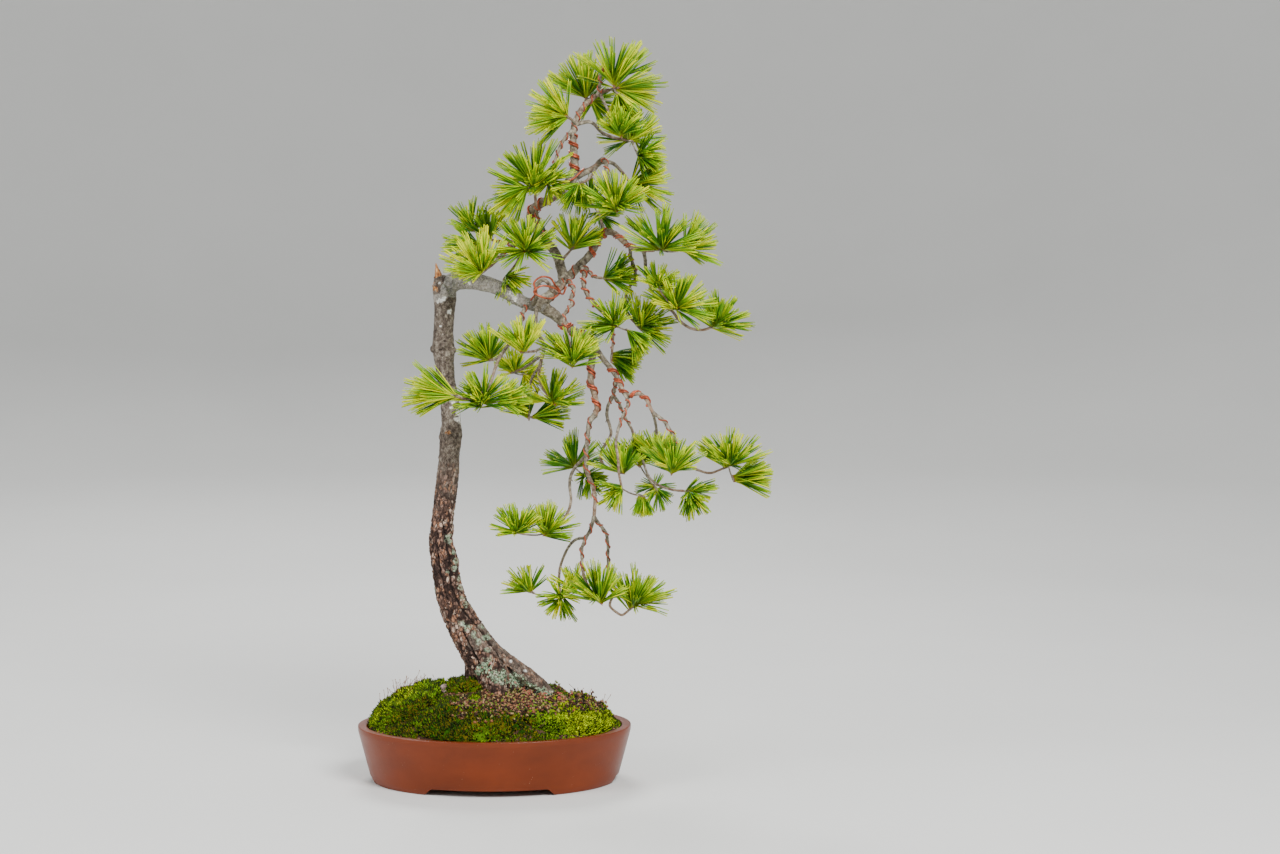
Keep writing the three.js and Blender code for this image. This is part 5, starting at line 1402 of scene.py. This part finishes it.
class AddLitter(bpy.types.Operator):
    """Strews the dry top layer where no moss grows, and plants the thin stalks and the small stone"""

    bl_idname = "bonsai.add_litter"
    bl_label = "Add litter"

    def execute(self, context):
        settings = context.scene.bonsai_ground
        chance = random.Random(23)
        soil = skin_of("soil_mound")
        cushions = [skin_of(f"{name}_shoots") for name in [*MOSS, "moss_ridge"]]
        grains = [litter_clump(chance) for _ in range(8)]
        tufts = [moss_clump(settings, chance) for _ in range(6)]
        litter, sprouts = bmesh.new(), bmesh.new()
        for x, y in soil_spots(chance, LITTER_STEP):
            place, normal = struck(soil, x, y)
            if not place:
                continue
            hits = [struck(skin, x, y) for skin in cushions]
            hits = [hit for hit in hits if hit[0] and hit[0].z > place.z]
            above = max(hits, key=lambda hit: hit[0].z, default=None)
            covered = above is not None
            if covered:
                place, normal = above
                covered = patch(pictured(place), BARE_MOSS, place) < 0.5
            turn = Matrix.Translation(place) @ upright(normal, chance.uniform(0, ROLL))
            mossy = sum(
                eased(1 - math.dist((place - POT_CENTRE).xy, (x * MM, y * MM)) / (wide * MM), 0, 0.5)
                for x, y, wide in SOIL_MOSS
            ) + 0.5 * lumpy(place, 0.012) + 1.3 * eased(outness(place), 0.6, 0.85)
            if not covered and not above and mossy > THIN_MOSS_FROM and outness(place) < MOSS_RIM:
                size = Matrix.Scale(chance.uniform(0.6, 0.9) + 0.3 * eased(outness(place), 0.55, 0.75), 4)
                scattered(sprouts, chance.choice(tufts), turn @ size, moss_tone(place) - 0.5)
            elif not covered:
                # Litter against the pot's wall is darkened, as painted shade in the corner
                shift = -0.3 if outness(place) > MOSS_RIM and not above else chance.uniform(-0.1, 0.04)
                shift += 0.5 * (patch(pictured(place), PINK_LITTER, place) > chance.random())
                scattered(litter, chance.choice(grains), turn, shift)
        finished("dry_litter", litter, [litter_finish(settings)])
        finished("thin_moss", sprouts, [moss_finish(settings)])
        self.plant_stalks(chance, soil, cushions)
        self.lay_stone([soil, *cushions])
        return {"FINISHED"}

    def lay_stone(self, skins):
        """The small stone beside the trunk"""
        right, away, radius = (value * MM for value in STONE)
        place = topmost(skins, POT_CENTRE.x + right, POT_CENTRE.y + away)
        shape = bmesh.new()
        bmesh.ops.create_icosphere(shape, subdivisions=4, radius=radius)
        for vert in shape.verts:
            vert.co *= 1 + 0.6 * lumpy(vert.co, 0.006) + 0.25 * lumpy(vert.co, 0.002)
            vert.co += place - Vector((0, 0, 0.5 * radius))
        finished("small_stone", shape, [stone_finish()])

    def plant_stalks(self, chance, soil, cushions):
        """Thin reddish stalks that stand out of the moss"""
        shape = bmesh.new()
        tone = shape.verts.layers.float.new("tone")
        for right, away, spread, count, height in STALKS:
            for _ in range(count):
                x = POT_CENTRE.x + (right + chance.gauss(0, spread)) * MM
                y = POT_CENTRE.y + (away + chance.gauss(0, spread)) * MM
                foot = topmost([soil, *cushions], x, y)
                if not foot:
                    continue
                foot.z -= 0.002
                tall = height * MM * chance.uniform(0.6, 1.1)
                lean = Vector((chance.gauss(0, 0.35), chance.gauss(0, 0.35), 1)) * tall
                top = foot + lean
                bent = foot.lerp(top, 0.55) + Vector((lean.x, lean.y, 0)) * -0.3
                rod = Rod([foot, bent, top, top + lean * 0.1], STALK_RADII)
                before = len(shape.verts)
                add_tube(shape, rod, 4)
                shape.verts.ensure_lookup_table()
                for vert in shape.verts[before:]:
                    vert[tone] = chance.uniform(0.84, 0.92)
        finished("moss_stalks", shape, [litter_finish(bpy.context.scene.bonsai_ground)])


# Wood
def wood_relief(place, radius):
    """Knots and wrinkles of a limb's bark"""
    return radius * (0.13 * lumpy(place, 0.006) + 0.09 * lumpy(place, 0.0022))


class AddTrunk(bpy.types.Operator):
    """Grows the trunk, surface roots and thick arm together, carves their bark and adds the dead stub"""

    bl_idname = "bonsai.add_trunk"
    bl_label = "Add trunk"

    def execute(self, context):
        settings = context.scene.bonsai_tree
        rods = {"trunk": grown(TRUNK, [row[3] for row in TRUNK], THICK_STEP)}
        for name, root in ROOTS.items():
            rods[name] = grown(root.through, root.radii, THICK_STEP)
        rods["arm"] = grown(LIMBS["arm"].through, LIMBS["arm"].radii, THICK_STEP)
        shape = bmesh.new()
        for name, rod in rods.items():
            add_tube(shape, rod, TRUNK_SIDES if name == "trunk" else ROOT_SIDES)
        for knob in KNOBS:
            place = Matrix.Translation(placed(knob))
            bmesh.ops.create_icosphere(shape, subdivisions=2, radius=knob[3] * MM, matrix=place)
        piece = finished("trunk", shape, [bark_finish(settings)], ["pine_wood"])
        skin = piece.modifiers.new("skin", "REMESH")
        skin.mode = "VOXEL"
        skin.voxel_size = BARK_GRAIN
        settled(piece)
        self.carve(piece.data, rods, settings.bark_depth)
        piece.data.shade_smooth()
        self.add_splinters()
        return {"FINISHED"}

    def add_splinters(self):
        """The torn points of the dead stub"""
        shape = bmesh.new()
        for splinter in SPLINTERS:
            rod = grown(splinter.through, splinter.radii, TWIG_STEP / 2)
            add_tube(shape, rod, 12, lambda place, radius: radius * 0.3 * lumpy(place, 0.002))
        finished("dead_stub", shape, [torn_finish()])

    def carve(self, mesh, rods, depth):
        """Moves the skin in and out as bark, and keeps what the finish needs to know of it"""
        shape = bmesh.new()
        shape.from_mesh(mesh)
        for _ in range(3):
            bmesh.ops.smooth_vert(
                shape, verts=shape.verts, factor=0.5, use_axis_x=True, use_axis_y=True, use_axis_z=True
            )
        shape.normal_update()
        layers = {
            name: shape.verts.layers.float.new(name)
            for name in ("relief", "flaky", "shade", "lichen", "pale", "torn")
        }
        stations = [(rod, i) for rod in rods.values() for i in range(len(rod.points))]
        tree = KDTree(len(stations))
        for k, (rod, i) in enumerate(stations):
            tree.insert(rod.points[i], k)
        tree.balance()
        moves = []
        noise.seed_set(BARK_SEED)
        for vert in shape.verts:
            _, k, _ = tree.find(vert.co)
            rod, i = stations[k]
            pixel = pictured(vert.co)
            facing = eased(-vert.normal.y, 0.0, 0.3)
            flaky = 0
            if rod is not rods["arm"]:
                flaky = eased(pixel.y + 24 * lumpy(vert.co, 0.02), FLAKY_FROM, FLAKY_FULL)
            if rod is rods["right"]:
                flaky *= 0.5
            relief, rise, shade = self.bark(vert.co, rod, i, flaky)
            groove = min(line_gap(pixel, line) for line in FISSURES)
            cut = facing * (1 - eased(groove + 1.2 * lumpy(vert.co, 0.007), *CRACK_EDGES))
            rise = rise * depth - cut * CRACK_DEPTH
            moves.append(vert.normal * rise)
            # The finish darkens low relief: in the cracks and fissures partly the bark's own colour, partly
            # painted shade; the dark patches are darkened the same way
            vert[layers["relief"]] = relief * (1 - cut) * (1 - 0.9 * patch(pixel, DARK, vert.co))
            vert[layers["flaky"]] = flaky
            vert[layers["shade"]] = shade
            vert[layers["torn"]] = patch(pixel, TORN, vert.co) * facing
            hidden = (1 - facing) * self.behind(vert.co, flaky)
            vert[layers["lichen"]] = patch(pixel, LICHEN, vert.co) * facing + hidden
            worn = ARM_PALE if rod is rods["arm"] else 0
            vert[layers["pale"]] = max(patch(pixel, PALE, vert.co) * facing, worn)
        for vert, move in zip(shape.verts, moves):
            vert.co += move
        shape.to_mesh(mesh)
        shape.free()

    def behind(self, place, flaky):
        """Lichen on the sides that the picture doesn't show"""
        return eased(lumpy(place, 0.026) + 0.4 * lumpy(place, 0.008), 0.28, 0.5) * (0.3 + 0.7 * flaky)

    def bark(self, place, rod, i, flaky):
        """How far the bark stands above its cracks, its rise as a share of its depth, and its shade"""
        offset = place - rod.points[i]
        along = i * THICK_STEP + offset.dot(rod.tangents[i])
        straight = Vector((offset.dot(rod.normals[i]), offset.dot(rod.across[i]), along))
        grain = Vector((straight.x, straight.y, straight.z * PLATE_STRETCH)) / PLATE_SIZE
        grain += 0.5 * noise.noise_vector(grain * 0.9)
        near, centres = noise.voronoi(grain)[:2]
        shade = noise.noise(centres[0] * 3.7)
        plate = eased(near[1] - near[0], 0.0, 0.2)
        flake = 0.4 * noise.noise(grain * 2.7) + 0.25 * noise.noise(grain * 6.1)
        rough = plate * (0.8 + 0.7 * shade) - 0.7 + flake
        ring = noise.noise(Vector((straight.x * 60, straight.y * 60, along * 420)))
        calm = 0.3 * lumpy(place, 0.009) + 0.18 * ring + 0.16 * lumpy(place, 0.003)
        pits = eased(near[0], 0.02, 0.3)
        relief = flaky * (plate + 0.4 * flake) + (1 - flaky) * (0.35 + 0.65 * pits)
        return relief, flaky * rough + (1 - flaky) * calm, shade


def line_gap(pixel, line):
    """How far a pixel lies from a line of pixels"""
    gaps = []
    for start, stop in zip(line, line[1:]):
        start, stop = Vector(start), Vector(stop)
        run = stop - start
        share = min(max((pixel - start).dot(run) / run.length_squared, 0), 1)
        gaps.append((pixel - start - run * share).length)
    return min(gaps)


def patch(pixel, patches, place):
    """How much of a growth there is at a pixel: full in the middle of a patch, with a ragged edge"""
    ragged = 0.8 * lumpy(place, 0.0055) + 0.5 * lumpy(place, 0.002)
    return max(
        1 - eased(math.hypot(pixel.x - across, pixel.y - down) / wide + ragged, 0.45, 1.05)
        for across, down, wide in patches
    )


class AddLichen(bpy.types.Operator):
    """Sets frilled lichen on the trunk's foot and the ground round it"""

    bl_idname = "bonsai.add_lichen"
    bl_label = "Add lichen"

    def execute(self, context):
        chance = random.Random(31)
        skins = [skin_of("trunk"), skin_of("soil_mound")]
        eye = POT_CENTRE + VIEW_POINT
        shape = bmesh.new()
        tone = shape.verts.layers.float.new("tone")
        for across, down, wide, tall in FRILLED:
            for _ in range(FRILLS):
                pixel = (across + wide * chance.gauss(0, 0.5), down + tall * chance.gauss(0, 0.5))
                hits = [hit for hit in (sighted(skin, *pixel) for skin in skins) if hit[0]]
                if not hits:
                    continue
                place, normal = min(hits, key=lambda hit: (hit[0] - eye).length)
                tilt = Vector([chance.gauss(0, 0.5) for _ in range(3)])
                turn = upright((normal + tilt).normalized(), chance.uniform(0, ROLL))
                size = chance.uniform(0.0007, 0.0016)
                made = bmesh.ops.create_cone(
                    shape, segments=7, cap_ends=True, radius1=size * 0.4, radius2=size, depth=size * 1.1,
                    matrix=Matrix.Translation(place + normal * size * 0.4) @ turn,
                )["verts"]
                shade = chance.uniform(0.1, 1)
                for vert in made:
                    vert.co += shaken(chance, 0.2) * size
                    vert[tone] = shade
        finished("foot_lichen", shape, [lichen_finish(context.scene.bonsai_tree)])
        return {"FINISHED"}


class AddBranches(bpy.types.Operator):
    """Grows every other limb and twig, with a collar where it leaves its bough and spurs along it"""

    bl_idname = "bonsai.add_branches"
    bl_label = "Add branches"

    def execute(self, context):
        settings = context.scene.bonsai_tree
        chance = random.Random(5)
        shape = bmesh.new()
        along = shape.verts.layers.float.new("along")
        for name, rod in limbs().items():
            if name == "arm":
                continue
            for i, point in enumerate(rod.points):
                way = i * TWIG_STEP / rod.radii[0]
                rod.radii[i] *= 1 + 0.38 * math.exp(-way / 1.6)
            add_tube(shape, rod, 14 if rod.radii[0] > 0.004 else 10, wood_relief, along)
            for spur in self.spurs(rod, chance):
                add_tube(shape, spur, 5)
        finished("branches", shape, [twig_finish(settings)], ["pine_wood"])
        return {"FINISHED"}

    def spurs(self, rod, chance):
        """Short stubs of old shoots"""
        way = chance.uniform(0.01, 0.05)
        length = len(rod.points) * TWIG_STEP
        while way < length - 0.01:
            share, turn = way / length, chance.uniform(0, 2 * math.pi)
            foot = rod.beside(share, turn, -0.0006)
            out = (rod.beside(share, turn, 0.001) - foot).normalized()
            out = (out + rod.tangents[int(share * len(rod.points))] * chance.uniform(0.2, 0.9)).normalized()
            tall = chance.uniform(0.0014, 0.0034)
            yield Rod([foot, foot + out * tall * 0.6, foot + out * tall], SPUR_RADII)
            way += chance.uniform(0.02, 0.06)


def limbs():
    """Every limb as a rod"""
    return {name: grown(limb.through, limb.radii, TWIG_STEP) for name, limb in LIMBS.items()}


# Wire
def wound(rod, coil, wire_radius, start):
    """A wire's rod, coiled around a limb's rod and touching its bark"""
    length = (len(rod.points) - 1) * TWIG_STEP * (coil.stop - coil.start)
    count = round(length / (coil.rise * MM) * TURN_STEPS)
    points = []
    for k in range(count + 1):
        share = coil.start + (coil.stop - coil.start) * k / count
        gap = wire_radius * WIRE_LIFT
        points.append(rod.beside(share, start + 2 * math.pi * k / TURN_STEPS, gap))
    return Rod(points, [wire_radius] * len(points))


class AddWires(bpy.types.Operator):
    """Winds the training wires around their limbs, and lays the two loose lengths in the crown"""

    bl_idname = "bonsai.add_wires"
    bl_label = "Add wires"

    def execute(self, context):
        settings = context.scene.bonsai_wire
        finish = copper_finish(settings)
        rods = limbs()
        for name, coil in {**WIRES, **FINE_WIRES}.items():
            shape = bmesh.new()
            thick = settings.thickness if name in WIRES else settings.fine_thickness
            for strand in range(2 if name in TWINS else 1):
                add_tube(shape, wound(rods[coil.limb], coil, thick / 2, TWIN_TURN * strand), WIRE_SIDES)
            replaced = [name] if name in WIRES else []
            finished(f"{name}_coil", shape, [finish], replaced)
        for name, through in LOOSE_WIRES.items():
            shape = bmesh.new()
            spots = [placed(spot) for spot in through]
            points = [curve_point(spots, share) for share in np.linspace(0, 1, 10 * len(spots))]
            add_tube(shape, Rod(points, [settings.thickness / 2] * len(points)), WIRE_SIDES)
            finished(name, shape, [finish])
        return {"FINISHED"}


# Needles
def needle_bundle(settings, chance):
    """The needles of one bundle, along Z from the origin, bending towards X"""
    shape = bmesh.new()
    tone = shape.verts.layers.float.new("tone")
    along = shape.verts.layers.float.new("along")
    radii = [settings.thickness / 2 * share for share in NEEDLE_SHAPE]
    for k in range(settings.bundle):
        turn = 2 * math.pi * k / settings.bundle + chance.uniform(-0.4, 0.4)
        splay = BUNDLE_SPLAY * chance.uniform(0.4, 1.2)
        tall = NEEDLE_LENGTH * chance.uniform(0.92, 1.0)
        bend = chance.uniform(0, 0.07) * NEEDLE_LENGTH
        side = Vector((math.cos(turn), math.sin(turn), 0))
        points = []
        for t in np.linspace(0, 1, len(radii)):
            place = side * (splay * tall * (t - 0.35 * t * t) + 0.0003)
            points.append(place + Vector((bend * t * t, 0, tall * t)))
        before = len(shape.verts)
        add_tube(shape, Rod(points, radii), NEEDLE_SIDES, layer=along, tip=0.5)
        shade = chance.gauss(0.48, 0.22)
        shape.verts.ensure_lookup_table()
        for vert in shape.verts[before:]:
            vert[tone] = shade
    return mesh_of("needle_bundle", shape)


class AddNeedles(bpy.types.Operator):
    """Grows a tuft of needle bundles at the end of each twig, a piece for each spray"""

    bl_idname = "bonsai.add_needles"
    bl_label = "Add needles"

    def execute(self, context):
        settings = context.scene.bonsai_needle
        chance = random.Random(3)
        bundles = [needle_bundle(settings, chance) for _ in range(BUNDLE_KINDS)]
        finishes = [needle_finish(settings), twig_finish(context.scene.bonsai_tree)]
        for spray, tufts in SPRAYS.items():
            shape = bmesh.new()
            shape.verts.layers.float.new("tone")
            along = shape.verts.layers.float.new("along")
            joint = None
            for tuft in tufts:
                half, bundles_here = CORES[tuft.size]
                half *= MM
                if tuft.at:
                    middle = placed(tuft.at)
                    axis = (middle - joint).normalized()
                    self.shoot(shape, joint, middle, along)
                else:
                    spots = [placed(spot) for spot in LIMBS[spray].through]
                    axis = (spots[-1] - curve_point(spots, 0.97)).normalized()
                    middle = spots[-1] + axis * (half + TWIG_GAP)
                self.bud(shape, middle, axis, half, along)
                self.tuft(shape, tuft, middle, axis, half, bundles_here, bundles, chance, spray)
                joint = joint or middle
            finished(f"spray_{spray}", shape, finishes, [f"needles_{spray}"])
        return {"FINISHED"}

    def shoot(self, shape, start, stop, along):
        """The thin twig that carries a further tuft"""
        sag = Vector((0, 0, -0.06)) * (stop - start).length
        points = [start, start.lerp(stop, 0.33) + sag, start.lerp(stop, 0.7) + sag * 0.8, stop]
        points = [curve_point(points, share) for share in np.linspace(0, 1, 10)]
        self.wooden(shape, Rod(points, [SHOOT_RADIUS * MM] * 10), along, 8)

    def bud(self, shape, middle, axis, half, along):
        """The end of the twig that the bundles grow from"""
        points = [middle + axis * half * share for share in (-1, -0.5, 0, 0.5, 0.9)]
        self.wooden(shape, Rod(points, BUD_RADII), along, 8)

    def wooden(self, shape, rod, along, sides):
        """A bit of twig, in the second of the spray's materials"""
        before = len(shape.faces)
        add_tube(shape, rod, sides, layer=along)
        shape.faces.ensure_lookup_table()
        for face in shape.faces[before:]:
            face.material_index = 1

    def tuft(self, shape, tuft, middle, axis, half, count, bundles, chance, spray):
        """Bundles of needles all round a twig end, spread about the way that the tuft points"""
        aim = Vector(tuft.aim).normalized()
        to_aim = aim.to_track_quat("Z", "Y")
        shift = TONES.get(spray, 0) + chance.uniform(-0.06, 0.06)
        for k in range(count):
            polar = math.acos(1 - (1 - math.cos(CAP)) * (k + 0.5) / count)
            lean = math.radians(tuft.spread) * polar / CAP * FULLER + chance.gauss(0, 0.11)
            turn = GOLDEN_TURN * k + chance.gauss(0, 0.3)
            across, up = math.sin(lean), math.cos(lean)
            way = to_aim @ Vector((across * math.cos(turn), across * math.sin(turn), up))
            backwards = way.dot(axis)
            if backwards < REARMOST:
                way = (way + axis * (REARMOST - backwards)).normalized()
            foot = middle + axis * half * chance.uniform(-0.9, 0.8) + way * 0.0008
            outward = (way - aim * way.dot(aim)) * 0.6 + Vector((0, 0, -0.75)) + axis * -0.1
            outward -= way * outward.dot(way)
            if outward.length < 0.01:
                outward = way.orthogonal()
            outward.normalize()
            frame_turn = Matrix((outward, way.cross(outward), way)).transposed().to_4x4()
            size = tuft.reach * MM / NEEDLE_LENGTH * chance.uniform(0.77, 1.06)
            stretch = Matrix.Diagonal((1, 1, size, 1))
            roll = Matrix.Rotation(chance.gauss(0, 0.5), 4, "Z")
            matrix = Matrix.Translation(foot) @ frame_turn @ roll @ stretch
            scattered(shape, chance.choice(bundles), matrix, shift + chance.gauss(0, 0.13))


# Nets, floor, lights and camera
class DressNets(bpy.types.Operator):
    """Gives the two drain nets under the soil their plastic"""

    bl_idname = "bonsai.dress_nets"
    bl_label = "Dress drain nets"

    def execute(self, context):
        finish = net_finish()
        for name in ("drain_net_left", "drain_net_right"):
            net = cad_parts[name]
            net.data.materials.clear()
            net.data.materials.append(finish)
        return {"FINISHED"}


class AddStage(bpy.types.Operator):
    """Sets up the pale floor, the soft lights and the camera at the picture's angle"""

    bl_idname = "bonsai.add_stage"
    bl_label = "Add stage"

    def execute(self, context):
        settings = context.scene.bonsai_stage
        made = Finish("pale_floor", Roughness=0.8, Specular_IOR_Level=0.2)
        floor_colour = Vector(settings.floor)
        made.feed("Base Color", made.ramp(made.noise(3), [(0.3, floor_colour * 0.97), (0.7, floor_colour)]))
        shape = turned(rounded([(0, 0), (SWEEP, 0), (SWEEP, SWEEP)], [0, SWEEP * 0.6, 0]), 96)
        floor = shown("floor", mesh_of("floor", shape), [made.material])
        self.light("main_light", (1.1, -1.9, 2.0), 1.3, settings.main_light)
        self.light("fill_light", (-2.0, -1.2, 1.2), 1.2, settings.main_light * 0.35)
        self.light("back_light", (-0.4, 2.0, 2.2), 1.2, settings.main_light * 0.5)
        world = bpy.data.worlds.new("studio")
        world.use_nodes = True
        world.node_tree.nodes["Background"].inputs["Color"].default_value = (0.80, 0.82, 0.85, 1)
        world.node_tree.nodes["Background"].inputs["Strength"].default_value = 0.62
        context.scene.world = world
        camera = bpy.data.objects.new("camera", bpy.data.cameras.new("camera"))
        camera.data.sensor_width = SENSOR
        camera.data.lens = FOCAL_PIXELS / (2 * MIDDLE_ACROSS) * SENSOR
        camera.location = POT_CENTRE + VIEW_POINT
        camera.rotation_euler = (math.pi / 2 - VIEW_TILT, 0, 0)
        context.scene.collection.objects.link(camera)
        context.scene.camera = camera
        return {"FINISHED"}

    def light(self, name, place, size, power):
        """A round soft light, turned towards the tree"""
        lamp = bpy.data.lights.new(name, "AREA")
        lamp.shape = "DISK"
        lamp.size = size
        lamp.energy = power
        light = bpy.data.objects.new(name, lamp)
        light.location = POT_CENTRE + Vector(place)
        towards = Vector((0.05, 0, 0.35)) - Vector(place)
        light.rotation_euler = towards.to_track_quat("-Z", "Y").to_euler()
        bpy.context.scene.collection.objects.link(light)


OPERATORS = [
    AddPot, AddSoil, AddMoss, AddLitter, AddTrunk, AddLichen, AddBranches, AddWires, AddNeedles, DressNets,
    AddStage,
]
SETTINGS = {
    "bonsai_pot": PotSettings, "bonsai_ground": GroundSettings, "bonsai_tree": TreeSettings,
    "bonsai_wire": WireSettings, "bonsai_needle": NeedleSettings, "bonsai_stage": StageSettings,
}


class BonsaiPanel(bpy.types.Panel):
    """The bonsai's pieces and their settings"""

    bl_idname = "VIEW3D_PT_bonsai"
    bl_label = "Weeping pine bonsai"
    bl_space_type = "VIEW_3D"
    bl_region_type = "UI"
    bl_category = "Bonsai"

    def draw(self, context):
        for name, group in SETTINGS.items():
            for setting in group.__annotations__:
                self.layout.prop(getattr(context.scene, name), setting)
        for operator in OPERATORS:
            self.layout.operator(operator.bl_idname)


def register():
    for kind in [*SETTINGS.values(), *OPERATORS, BonsaiPanel]:
        bpy.utils.register_class(kind)
    for name, group in SETTINGS.items():
        setattr(bpy.types.Scene, name, bpy.props.PointerProperty(type=group))


def unregister():
    for name in SETTINGS:
        delattr(bpy.types.Scene, name)
    for kind in [BonsaiPanel, *OPERATORS[::-1], *SETTINGS.values()]:
        bpy.utils.unregister_class(kind)


def main():
    register()
    for operator in OPERATORS:
        group, name = operator.bl_idname.split(".")
        getattr(getattr(bpy.ops, group), name)()


if __name__ == "__main__":
    main()
